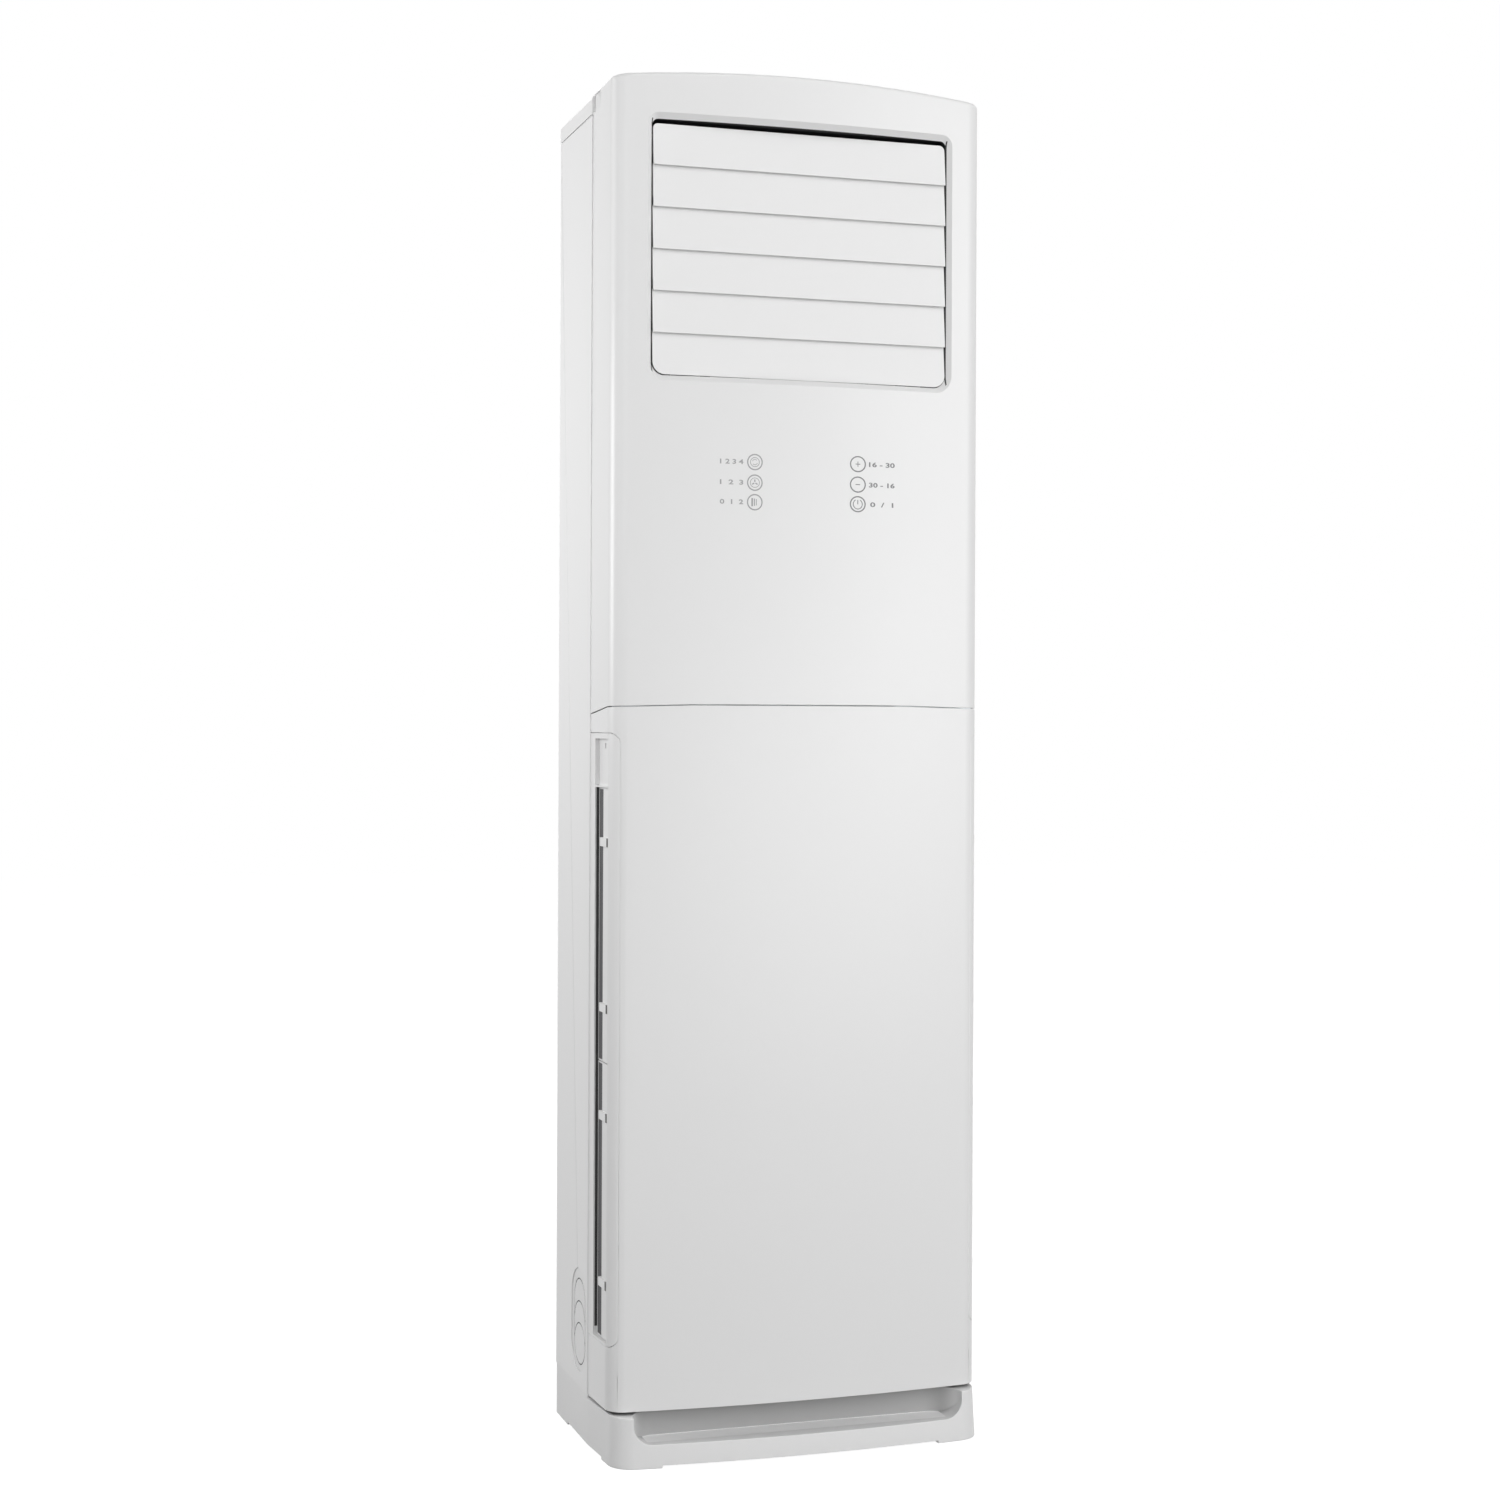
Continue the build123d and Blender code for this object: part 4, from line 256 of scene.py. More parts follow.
class Finish:
    """A material with one glossy-and-diffuse shader, built from a few plain calls."""

    def __init__(self, name, colour, roughness, metallic=0.0):
        self.material = bpy.data.materials.new(name)
        self.material.use_nodes = True
        self.tree = self.material.node_tree
        self.shader = self.tree.nodes["Principled BSDF"]
        self.set("Base Color", (*colour, 1))
        self.set("Roughness", roughness)
        self.set("Metallic", metallic)

    def set(self, socket, value):
        """Gives a socket of the shader a plain value or a link."""
        self.feed(self.shader.inputs[socket], value)

    def feed(self, socket, value):
        if isinstance(value, Flow):
            self.tree.links.new(value.socket, socket)
        else:
            socket.default_value = value

    def add(self, kind, settings=None, values=None, output=0):
        """Adds one node: its settings first, then the values or links of its sockets."""
        node = self.tree.nodes.new(kind)
        for name, value in (settings or {}).items():
            setattr(node, name, value)
        for name, value in (values or {}).items():
            self.feed(node.inputs[name], value)
        return Flow(self, node.outputs[output])

    def place(self):
        """Positions on the piece, in metres."""
        return self.add("ShaderNodeTexCoord", output="Object")

    def along(self, axis):
        """One coordinate of the position on the piece."""
        return self.add("ShaderNodeSeparateXYZ", None, {0: self.place()}, output=axis)

    def noise(self, scale, detail):
        return self.add(
            "ShaderNodeTexNoise", {"noise_dimensions": "3D"},
            {"Vector": self.place(), "Scale": scale, "Detail": detail}, output="Fac",
        )

    def cells(self, scale, output):
        """Voronoi cells: the colour of each, or the distance from its middle."""
        return self.add(
            "ShaderNodeTexVoronoi", {"feature": "F1"},
            {"Vector": self.place(), "Scale": scale}, output=output,
        )

    def tint(self, mask, under, over):
        """Goes from one colour to another as a mask rises from 0 to 1."""
        under, over = (c if isinstance(c, Flow) else (*c, 1) for c in (under, over))
        return self.add(
            "ShaderNodeMix", {"data_type": "RGBA"}, {"Factor": mask, 6: under, 7: over}, output=2,
        )

    def within(self, axis, low, high, soft=HARD_EDGE):
        """1 between two positions on one axis, 0 elsewhere; X is taken as the distance from 0.

        The mask rises from 0 to 1 over the soft length that begins at low.
        """
        position = self.along(axis)
        if axis == "X":
            position = position.maths("ABSOLUTE")
        rise = self.add(
            "ShaderNodeMapRange", {"interpolation_type": "SMOOTHSTEP"},
            {"Value": position, "From Min": low, "From Max": low + soft}, output="Result",
        )
        return rise * position.maths("LESS_THAN", high)

    def relief(self, height, depth):
        """Turns a height pattern into surface relief of a real depth in metres."""
        self.set("Normal", self.add(
            "ShaderNodeBump", None, {"Height": height, "Distance": depth, "Strength": 1.0},
            output="Normal",
        ))


# %% [markdown]
# ## White plastic and white paint
#
# The front is moulded in satin white plastic. Up close it has a fine even grain from the
# mould, and its gloss drifts a little over a long panel. The side sheets are steel with a
# baked powder coat, which is a little glossier and has the soft dimples of orange peel.
#
# A few places on the mouldings are so narrow or so deep that they hold only shadow, and one
# lies so low that it catches light from the floor. That shade and that light are painted into
# the colour: each place is a box along the axes, in which the material is painted a darker or
# lighter grey. The box belongs to the piece and not to the picture, so the painted tone stays in
# its place from every side.

# %% Moulded white plastic


def grey(level):
    return (level, level, level)


WHITE = grey(0.80)
DRIFT_SCALE, DRIFT_TONE, DRIFT_GLOSS = 3.0, 0.985, 0.08
GRAIN_SCALE, GRAIN_GLOSS, GRAIN_DEPTH = 2600.0, 0.05, 0.000012


def moulded_white(name, roughness, painted_regions=(), sheen=0.5):
    """Satin moulded plastic with a fine grain; in each region given, a grey is painted in for the
    shade or light there.
    """
    finish = Finish(name, WHITE, roughness)
    finish.set("Specular IOR Level", sheen)
    drift = finish.noise(DRIFT_SCALE, 2.0)
    tone = finish.tint(drift, tuple(c * DRIFT_TONE for c in WHITE), WHITE)
    # Each region replaces the colour with its grey: painted shade, or painted light on the scoop's
    # floor.
    for painted_grey, region in painted_regions:
        mask = 1.0
        for limits in region:
            mask = finish.within(*limits) * mask
        tone = finish.tint(mask, tone, grey(painted_grey))
    finish.set("Base Color", tone)
    grain = finish.noise(GRAIN_SCALE, 1.0)
    finish.set("Roughness", roughness + (drift - 0.5) * DRIFT_GLOSS + (grain - 0.5) * GRAIN_GLOSS)
    finish.relief(grain, GRAIN_DEPTH)
    return finish


print("grain about", round(1000 / GRAIN_SCALE, 2), "mm")

# %% White mouldings
# Each region: an axis, where it starts and ends along it, and over which length it sets in.
# Painted shadow: the gap between the louvres' ends and the outlet's rim, near-black on the rim's
# bevel.
RIM_GAP_SHADOW = (("X", 0.1975, 0.1991), ("Y", -0.1185, -0.1080), ("Z", 1.3650, 1.6860))
# Painted shade: the rear wall of the filter opening in the intake frame, near-black.
REVEAL_SHADE = (("X", 0.2440, 0.2487), ("Y", -0.0455, -0.0435), ("Z", 0.1600, 0.8490))
# Painted shadow: the ends of the filters' tabs, near-black.
TAB_END_SHADOW = (("X", 0.2478, 0.2600), ("Y", -0.1050, -0.0948))
# Painted shade: the scoop's back wall under the front panel, mid grey, lighter towards the front.
SCOOP_BACK_SHADE = (
    ("X", 0.0, 0.2400), ("Y", -0.1200, -0.0900, 0.0220), ("Z", 0.0290, 0.0700, 0.0010)
)
# Painted light: the scoop's floor, a paler grey than the rest of the base.
SCOOP_FLOOR_LIGHT = (("X", 0.0, 0.2150), ("Y", -0.1260, -0.0950), ("Z", 0.0280, 0.0300))
PANEL_SHEEN = 0.42
# Greys below: near-black for painted shadows, 0.40 for the scoop's painted shade, 0.97 for its
# painted light.
panel_white = moulded_white("panel_white", 0.30, sheen=PANEL_SHEEN)
rim_white = moulded_white("rim_white", 0.30, ((0.03, RIM_GAP_SHADOW),), PANEL_SHEEN)
intake_white = moulded_white("intake_white", 0.30, ((0.05, REVEAL_SHADE),), PANEL_SHEEN)
filter_white = moulded_white("filter_white", 0.35, ((0.05, TAB_END_SHADOW),))
louvre_white = moulded_white("louvre_white", 0.42)
base_white = moulded_white("base_white", 0.40, ((0.40, SCOOP_BACK_SHADE), (0.97, SCOOP_FLOOR_LIGHT)))
print("nodes in the base's finish", len(base_white.tree.nodes))

# %% Powder-coated sheet
PEEL_SCALE, PEEL_DEPTH = 420.0, 0.00003
sheet_white = Finish("sheet_white", grey(0.79), 0.3)
peel = sheet_white.noise(PEEL_SCALE, 1.5)
sheet_drift = sheet_white.noise(2.2, 2.0)
sheet_white.set("Base Color", sheet_white.tint(sheet_drift, grey(0.78), grey(0.8)))
sheet_white.set("Roughness", 0.27 + sheet_drift * 0.08)
sheet_white.relief(peel, PEEL_DEPTH)
print("orange peel", PEEL_DEPTH * 1000, "mm deep")

# %% Knock-out plate
# The score lines of the knock-outs are shallow grooves; the shade that falls in them is painted
# into their floor as near-black.
KNOCKOUT_FACE = -0.2516
GROOVE_START = 0.0004
GROOVE_SHADE = 0.06
knockout_white = moulded_white("knockout_white", 0.40)
# Painted shade: the groove floors, deeper than the plate's face, are near-black.
in_groove = knockout_white.along("X").maths("GREATER_THAN", KNOCKOUT_FACE + GROOVE_START)
knockout_white.set("Base Color", knockout_white.tint(in_groove, WHITE, grey(GROOVE_SHADE)))
print("grooves from x", round(KNOCKOUT_FACE + GROOVE_START, 4))

# %% [markdown]
# ## Dark plastic and the filter net
#
# Behind the louvres everything is moulded in near-black plastic, so that the outlet looks like
# one dark slot. The pull-out filters carry a fine nylon net. Its threads are far thinner than
# anything worth modelling, so they are drawn as a grid of relief and colour: two rows of waves,
# one upright and one level, of which the brighter one wins.

# %% Dark finishes
DUST_SCALE, DUST_GLOSS = 9.0, 0.12
DARK_GRAIN_SCALE, DARK_GRAIN_DEPTH = 2200.0, 0.00001


def moulded_dark(name, colour, roughness):
    """Near-black moulded plastic with a fine grain and a faint bloom of dust."""
    finish = Finish(name, colour, roughness)
    dust = finish.noise(DUST_SCALE, 3.0)
    pale = tuple(c * 1.35 + 0.004 for c in colour)
    finish.set("Base Color", finish.tint(dust, colour, pale))
    finish.set("Roughness", roughness + (dust - 0.5) * DUST_GLOSS)
    finish.relief(finish.noise(DARK_GRAIN_SCALE, 1.0), DARK_GRAIN_DEPTH)
    return finish


duct_dark = moulded_dark("duct_dark", (0.022, 0.023, 0.024), 0.55)
vane_dark = moulded_dark("vane_dark", (0.035, 0.036, 0.038), 0.5)
blower_grey = moulded_dark("blower_grey", (0.16, 0.165, 0.17), 0.5)
hose_grey = moulded_dark("hose_grey", (0.11, 0.11, 0.115), 0.62)
print("dust patches about", round(1000 / DUST_SCALE), "mm")

# %% Filter net
THREAD_PITCH = 0.0013
THREAD_DEPTH = 0.00025
NET_HOLE, NET_THREAD = (0.010, 0.010, 0.011), (0.11, 0.11, 0.115)
filter_net = Finish("filter_net", (0.09, 0.09, 0.095), 0.7)
upright = filter_net.along("Y")
level = filter_net.along("Z")
threads = (upright * (2 * math.pi / THREAD_PITCH)).maths("SINE").maths(
    "MAXIMUM", (level * (2 * math.pi / THREAD_PITCH)).maths("SINE")
)
mesh_mask = threads * 0.5 + 0.5
filter_net.set("Base Color", filter_net.tint(mesh_mask, NET_HOLE, NET_THREAD))
filter_net.relief(mesh_mask, THREAD_DEPTH)
print("net threads every", THREAD_PITCH * 1000, "mm")

# %% [markdown]
# ## Metals and the inner parts
#
# Few of these show with the cabinet shut, but a reader who takes a panel off sees them, so
# each has its own finish. Zinc coating freezes in large flat crystals. Voronoi cells of
# slightly different brightness give that look. Copper tarnishes unevenly, so a noise blends a
# browner tone into it. Foam shows the beads that it was moulded from. A circuit board is green
# up to its face, and in front of that are its components.

# %% Metal finishes


def metal(name, bright, dull, roughness, scale):
    """Bare metal whose colour and gloss wander between two tones."""
    finish = Finish(name, bright, roughness, metallic=1.0)
    wear = finish.noise(scale, 3.0)
    finish.set("Base Color", finish.tint(wear, dull, bright))
    finish.set("Roughness", roughness + (wear - 0.5) * 0.2)
    return finish


copper = metal("copper", (0.76, 0.42, 0.28), (0.52, 0.26, 0.16), 0.32, 45.0)
brass = metal("brass", (0.80, 0.62, 0.32), (0.62, 0.46, 0.22), 0.3, 60.0)
steel = metal("steel", (0.62, 0.62, 0.63), (0.48, 0.48, 0.49), 0.35, 80.0)
fin_aluminium = metal("fin_aluminium", (0.80, 0.81, 0.82), (0.66, 0.67, 0.68), 0.42, 30.0)
motor_black = metal("motor_black", (0.10, 0.10, 0.11), (0.05, 0.05, 0.055), 0.45, 40.0)

CRYSTAL_SCALE = 70.0
zinc = Finish("zinc", (0.62, 0.64, 0.66), 0.4, metallic=1.0)
crystal_colour = zinc.cells(CRYSTAL_SCALE, "Color")
crystal_tone = zinc.add("ShaderNodeSeparateColor", None, {0: crystal_colour})
zinc.set("Base Color", zinc.tint(crystal_tone, (0.50, 0.52, 0.54), (0.66, 0.68, 0.70)))
zinc.set("Roughness", 0.3 + crystal_tone * 0.2)
print("zinc crystals about", round(1000 / CRYSTAL_SCALE), "mm")

# %% Foam
BEAD_SCALE, BEAD_DEPTH = 280.0, 0.0006
foam = Finish("foam", (0.82, 0.82, 0.80), 0.85)
beads = foam.cells(BEAD_SCALE, "Distance")
foam.set("Base Color", foam.tint(beads, (0.84, 0.84, 0.82), (0.70, 0.70, 0.68)))
foam.relief(1.0 - beads, BEAD_DEPTH)
print("foam beads about", round(1000 / BEAD_SCALE, 1), "mm")

# %% Circuit boards
BOARD_THICKNESS = 0.0016
TRACK_SCALE, TRACK_LEVEL = 160.0, 0.52
BOARD_GREEN, TRACK_GREEN = (0.02, 0.12, 0.055), (0.04, 0.19, 0.085)


def board(name, front_y, part_colour):
    """Green board up to its front face; whatever stands in front of that is a component."""
    finish = Finish(name, (0.02, 0.13, 0.06), 0.4)
    is_part = finish.along("Y").maths("LESS_THAN", front_y - 0.0001)
    tracks = finish.noise(TRACK_SCALE, 0.5).maths("GREATER_THAN", TRACK_LEVEL)
    green = finish.tint(tracks, BOARD_GREEN, TRACK_GREEN)
    finish.set("Base Color", finish.tint(is_part, green, part_colour))
    return finish


control_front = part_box("control_board")[1][1] - BOARD_THICKNESS
touch_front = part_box("touch_board")[1][1] - BOARD_THICKNESS
control_finish = board("control_green", control_front, (0.03, 0.03, 0.035))
touch_finish = board("touch_green", touch_front, (0.5, 0.5, 0.48))
print("board fronts", round(control_front, 4), round(touch_front, 4))

# %% Which finish each node gets
louvres = [f"louvre_{number}" for number in range(1, 7)]
filter_frames = [
    f"filter_frame_{side}_{row}" for side in ("left", "right") for row in ("lower", "upper")
]
intake_frames = ["left_intake_frame", "right_intake_frame"]
finish_of_slot = {
    "white_plastic": panel_white, "vane_plastic": vane_dark, "white_sheet": sheet_white,
    "zinc_sheet": zinc, "grey_plastic": blower_grey, "aluminium_fins": fin_aluminium,
    "copper": copper, "brass": brass, "steel": steel, "motor_metal": motor_black, "foam": foam,
    "hose_rubber": hose_grey, "circuit_board": control_finish, "filter_net": filter_net,
}
finish_of_node = {
    "outlet_frame": duct_dark, "touch_board": touch_finish, "base_plinth": base_white,
    "pipe_knockout": knockout_white, "top_cover": louvre_white, "upper_front_panel": rim_white,
    **dict.fromkeys(intake_frames, intake_white), **dict.fromkeys(louvres, louvre_white),
    **dict.fromkeys(filter_frames, filter_white),
}
for name, node in nodes.items():
    finish = finish_of_node.get(name) or finish_of_slot[slot_of[name]]
    node.data.materials.clear()
    node.data.materials.append(finish.material)
print("finishes on", len(nodes), "nodes, by name on", len(finish_of_node))

# %% [markdown]
# ## Edges that catch the light
#
# No moulded or folded edge is truly sharp. A rounding of half a millimetre gives each panel
# edge the thin light line that makes it look real. The solid's own mesh is loose triangles, so
# a copy is joined and cleaned first, its sharp edges are rounded with the bevel operator, and
# the copy then stands for the node. Weighted normals keep the large faces evenly lit, with
# all of the turn in the narrow strips. Long thin triangles are left flat, because a smoothed
# one takes its light from corners that face other ways.

# %% Turn a shape into a piece


def piece_from(shape, name, material):
    """An object of its own at the origin, with its place in its mesh."""
    mesh = bpy.data.meshes.new(name)
    shape.to_mesh(mesh)
    shape.free()
    piece = bpy.data.objects.new(name, mesh)
    scene.collection.objects.link(piece)
    mesh.materials.append(material)
    return piece


# %% Rounded edges
MERGE_DISTANCE = 1e-6
FLAT_ANGLE, CORNER_ANGLE, CREASE_ANGLE = 0.1, 30.0, 34
SLIVER = 0.0004
FOLD_RADIUS = 0.0025


def round_off(shape, edges, width, segments):
    bmesh.ops.bevel(
        shape, geom=edges, offset=width, offset_type="OFFSET", segments=segments, profile=0.5,
        affect="EDGES", clamp_overlap=True, material=-1, loop_slide=True,
    )


def eased(name, width, before=None, fold=None, plain=None, reshape=None):
    """A copy of a node with its sharp edges rounded; it stands for the node and rides with it.

    The edges that fold picks get the wide rounding of bent sheet first, and those that plain
    picks stay as they are. The shape passes through before at the start and reshape at the end.
    """
    node = nodes[name]
    shape = bmesh.new()
    shape.from_mesh(node.data)
    bmesh.ops.remove_doubles(shape, verts=shape.verts, dist=MERGE_DISTANCE)
    bmesh.ops.dissolve_limit(
        shape, angle_limit=math.radians(FLAT_ANGLE), verts=shape.verts, edges=shape.edges
    )
    if before:
        before(shape)
    if fold:
        round_off(shape, [edge for edge in shape.edges if fold(edge)], FOLD_RADIUS, 5)
    sharp = [
        edge for edge in shape.edges
        if edge.is_manifold and edge.calc_face_angle() > math.radians(CORNER_ANGLE)
        and not (plain and plain(edge))
    ]
    round_off(shape, sharp, width, 2)
    if reshape:
        reshape(shape)
    bmesh.ops.triangulate(shape, faces=[face for face in shape.faces if len(face.verts) > 4])
    for face in shape.faces:
        longest = max(edge.calc_length() for edge in face.edges)
        face.smooth = len(face.verts) > 3 or face.calc_area() >= longest * SLIVER
    open_edges = sum(not edge.is_manifold for edge in shape.edges)
    piece = piece_from(shape, f"{name}_eased", node.data.materials[0])
    piece.data.set_sharp_from_angle(angle=math.radians(CREASE_ANGLE))
    even = piece.modifiers.new("even_light", "WEIGHTED_NORMAL")
    even.keep_sharp = True
    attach(piece, body_of(node)[0])
    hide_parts(name)
    print(name, "edges", len(sharp), "faces", len(piece.data.polygons), "open", open_edges)
    return piece


# %% [markdown]
# ## Where sheet and mouldings meet
#
# The side sheets are folded at their upright edges, and a fold in sheet is rounder than a
# moulded edge. The front mouldings lie against the sheets and against the top cover so closely
# that only a fine line shows. The solids stand a little apart there, so the sheet's flange and
# the cover's front edge are brought up to the mouldings, whose own edges stay sharp there.

# %% The closed junction
JUNCTION = -0.0242
JUNCTION_GAP, CLOSED_SHARE = 0.0003, 0.9
MOULDING_REACH, FLANGE_REACH = 0.0006, 0.0002
SIDE_FACE = 0.2527
UPRIGHT_EDGE = 1.0
LIP_RISE = 0.0021
LIP_START, LIP_REACH, LIP_THICKNESS = 0.0030, 0.0020, 0.0010
cover_low, cover_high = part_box("top_cover")
COVER_PLATE_TOP = max(
    vert.co.z for vert in nodes["top_cover"].data.vertices if vert.co.y > 0
)


def side_fold(edge):
    """The upright edges of a side sheet, where its flanges are bent in."""
    start, end = (vert.co for vert in edge.verts)
    return min(abs(start.x), abs(end.x)) > SIDE_FACE and abs(start.z - end.z) > UPRIGHT_EDGE


def at_junction(edge):
    """The edges of the front mouldings that lie against the side sheets."""
    return all(vert.co.y > JUNCTION - MOULDING_REACH for vert in edge.verts)


def close_junction(shape):
    """Brings the side sheet's front flange up against the front mouldings."""
    for vert in shape.verts:
        if vert.co.y < JUNCTION + FLANGE_REACH:
            vert.co.y -= JUNCTION_GAP * CLOSED_SHARE


def raise_front_lip(shape):
    """Raises the cover's front edge, so that no light shows between it and the crown."""
    bmesh.ops.bisect_plane(
        shape, geom=shape.verts[:] + shape.edges[:] + shape.faces[:],
        plane_co=(0, JUNCTION + LIP_START, 0), plane_no=(0, 1, 0),
    )
    for vert in shape.verts:
        if vert.co.y < JUNCTION + LIP_REACH and vert.co.z > COVER_PLATE_TOP - LIP_THICKNESS:
            vert.co.z = min(vert.co.z + LIP_RISE, cover_high[2])


print("cover top", round(cover_high[2], 4), "its plate", round(COVER_PLATE_TOP, 4))

# %% Panels, louvres and frames
for name in louvres:
    eased(name, 0.0005)
for name in ("left_side_panel", "right_side_panel"):
    eased(name, 0.0005, fold=side_fold, reshape=close_junction)
eased("top_cover", 0.0005, before=raise_front_lip)
eased("back_panel", 0.0005)
for name in intake_frames:
    eased(name, 0.0004, plain=at_junction)
for name in filter_frames:
    eased(name, 0.0003)
eased("pipe_knockout", 0.0002)
eased("base_plinth", 0.0008)

# %% [markdown]
# ## The joint of the two front panels
#
# The joint isn't quite level. It sags a little towards the corners of the face and falls
# further along the flanks. Both panels' edges are moved down together, so that the gap between
# them stays the same. Only the rows of points next to the joint move, straight down walls that
# are upright anyway, so no wall changes its form.
#
# The inside of the outlet's rim lies in the same shadow as the frame behind it. That shadow is
# painted: its faces, from a little behind the panel's face, take the frame's near-black.

# %% Front panels
JOINT_HEIGHT = 0.9512
JOINT_BAND = 0.014
FACE_SAG = 0.0022
FLANK_FALL = 0.0042
SAG_START, SAG_END = 0.13, 0.235
FLANK_FRONT, FLANK_REAR = -0.125, -0.0245
OPENING_HALF = 0.1986
OPENING_BOTTOM, OPENING_TOP = 1.3636, 1.6870
DARK_BEHIND = -0.1195


def eased_step(value, low, high):
    """0 below low, 1 above high, with a soft start and a soft end."""
    share = min(1.0, max(0.0, (value - low) / (high - low)))
    return share * share * (3 - 2 * share)


def sag_joint(shape):
    """Moves the edges along the joint down, by an amount that grows towards the rear."""
    for vert in shape.verts:
        if abs(vert.co.z - JOINT_HEIGHT) < JOINT_BAND:
            at_end = eased_step(abs(vert.co.x), SAG_START, SAG_END)
            vert.co.z -= FACE_SAG * at_end + FLANK_FALL * at_end * eased_step(
                vert.co.y, FLANK_FRONT, FLANK_REAR
            )


def sag_joint_and_paint_rim_shade(shape):
    """Also paints the shadow inside the outlet's rim: its faces take the near-black of the frame
    behind it.
    """
    sag_joint(shape)
    # Painted shade: the rim's inner faces behind the panel's face take the frame's near-black
    # material.
    for face in shape.faces:
        place = face.calc_center_median()
        inside = abs(place.x) < OPENING_HALF and OPENING_BOTTOM < place.z < OPENING_TOP
        if inside and abs(face.normal.y) < 0.5 and place.y > DARK_BEHIND:
            face.material_index = 1


eased("lower_front_panel", 0.0006, plain=at_junction, reshape=sag_joint)
upper_panel = eased(
    "upper_front_panel", 0.0006, plain=at_junction, reshape=sag_joint_and_paint_rim_shade
)
# The second material, the frame's near-black, is the rim's painted shade.
upper_panel.data.materials.append(duct_dark.material)
dark_faces = sum(face.material_index == 1 for face in upper_panel.data.polygons)
print("faces inside the rim", dark_faces)

# %% [markdown]
# ## The touch marks
#
# The controls are six touch fields under the smooth panel, each marked by a thin printed ring
# with a sign in it and a short row of figures beside it. Print has almost no height. Each mark
# is made as strokes a few hundredths of a millimetre thick: a straight stroke is a flattened
# cube, and a curved one is a small rectangle spun about the mark's middle. The strokes are then
# bent onto the bowed face, so that they lie on it everywhere.

# %% Print colours
SPECKLE_SCALE = 900.0


def print_ink(name, colour, dark, light):
    """Matt ink with fine specks in it."""
    finish = Finish(name, colour, 0.6)
    finish.set("Base Color", finish.tint(finish.noise(SPECKLE_SCALE, 2.0), dark, light))
    return finish


print_grey = print_ink("print_grey", (0.21, 0.21, 0.215), (0.18, 0.18, 0.185), (0.24, 0.24, 0.245))
print_pale = print_ink("print_pale", (0.34, 0.34, 0.345), (0.31, 0.31, 0.315), (0.38, 0.38, 0.385))
print("specks about", round(1000 / SPECKLE_SCALE, 1), "mm")

# %% Strokes on the bowed face
FACE_FRONT = -0.130
BOW_RADIUS = 2.2228
PRINT_PROUD = 0.00004
PRINT_SUNK = 0.00002
PRINT_DEPTH = PRINT_PROUD + PRINT_SUNK
PRINT_MIDDLE = (PRINT_SUNK - PRINT_PROUD) / 2
STEP_ANGLE = 7.5


def face_y(x):
    """Depth of the upper panel's face at a distance from the middle."""
    return FACE_FRONT + BOW_RADIUS - math.sqrt(BOW_RADIUS ** 2 - x ** 2)


def turned(shape, verts, degrees, axis):
    """Turns points about the origin."""
    matrix = Matrix.Rotation(math.radians(degrees), 3, axis)
    bmesh.ops.rotate(shape, cent=(0, 0, 0), matrix=matrix, verts=verts)


def straight(shape, x, z, width, height, turn=0.0):
    """A straight stroke with its middle at x, z."""
    verts = bmesh.ops.create_cube(shape, size=1.0)["verts"]
    bmesh.ops.scale(shape, vec=(width, PRINT_DEPTH, height), verts=verts)
    turned(shape, verts, turn, "Y")
    bmesh.ops.translate(shape, vec=(x, PRINT_MIDDLE, z), verts=verts)


def curved(shape, x, z, radius, width, start=0.0, sweep=360.0, stretch=1.0):
    """A curved stroke about x, z; a sweep of 360 closes it to a ring, and a stretch widens it."""
    before = set(shape.verts)
    verts = bmesh.ops.create_grid(shape, x_segments=1, y_segments=1, size=0.5)["verts"]
    bmesh.ops.scale(shape, vec=(width, PRINT_DEPTH, 1), verts=verts)
    bmesh.ops.translate(shape, vec=(radius, PRINT_MIDDLE, 0), verts=verts)
    turned(shape, verts, start, "Y")
    bmesh.ops.translate(shape, vec=(x, 0, z), verts=verts)
    profile = list({edge for vert in verts for edge in vert.link_edges})
    whole = sweep >= 360
    if whole:
        bmesh.ops.delete(shape, geom=[verts[0].link_faces[0]], context="FACES_ONLY")
    bmesh.ops.spin(
        shape, geom=profile if whole else verts + profile + list(verts[0].link_faces),
        cent=(x, 0, z), axis=(0, 1, 0), angle=math.radians(sweep),
        steps=max(6, int(sweep / STEP_ANGLE)), use_merge=whole, dvec=(0, 0, 0),
    )
    for vert in set(shape.verts) - before:
        vert.co.x = x + (vert.co.x - x) * stretch


def print_piece(shape, name, finish):
    """Bends finished strokes onto the face and makes them a piece of the cabinet."""
    bmesh.ops.remove_doubles(shape, verts=shape.verts, dist=1e-8)
    for vert in shape.verts:
        vert.co.y += face_y(vert.co.x)
    bmesh.ops.recalc_face_normals(shape, faces=shape.faces)
    piece = piece_from(shape, name, finish.material)
    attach(piece, "cabinet")
    return piece


print("the face bows back by", round((face_y(0.2) - FACE_FRONT) * 1000, 1), "mm at 0.2 m")

# %% Signs
BLADE_REACH = 0.0025
VANE_STROKES = ((-0.0034, 0.0022, 0.0104), (-0.0004, 0.0013, 0.0092), (0.0021, 0.0009, 0.0080))


def sign_plus(shape, x, z):
    straight(shape, x, z, 0.0066, 0.0010)
    for side in (1, -1):
        straight(shape, x, z + 0.0019 * side, 0.0010, 0.0028)


def sign_minus(shape, x, z):
    straight(shape, x, z, 0.0062, 0.0011)


def sign_power(shape, x, z):
    curved(shape, x, z, 0.0062, 0.0011, start=-60, sweep=300)
    straight(shape, x, z + 0.0026, 0.0011, 0.0056)


def sign_disc(shape, x, z):
    curved(shape, x, z, 0.0058, 0.0008)
    for start in (20, 200):
        curved(shape, x, z, 0.0034, 0.0007, start=start, sweep=120)


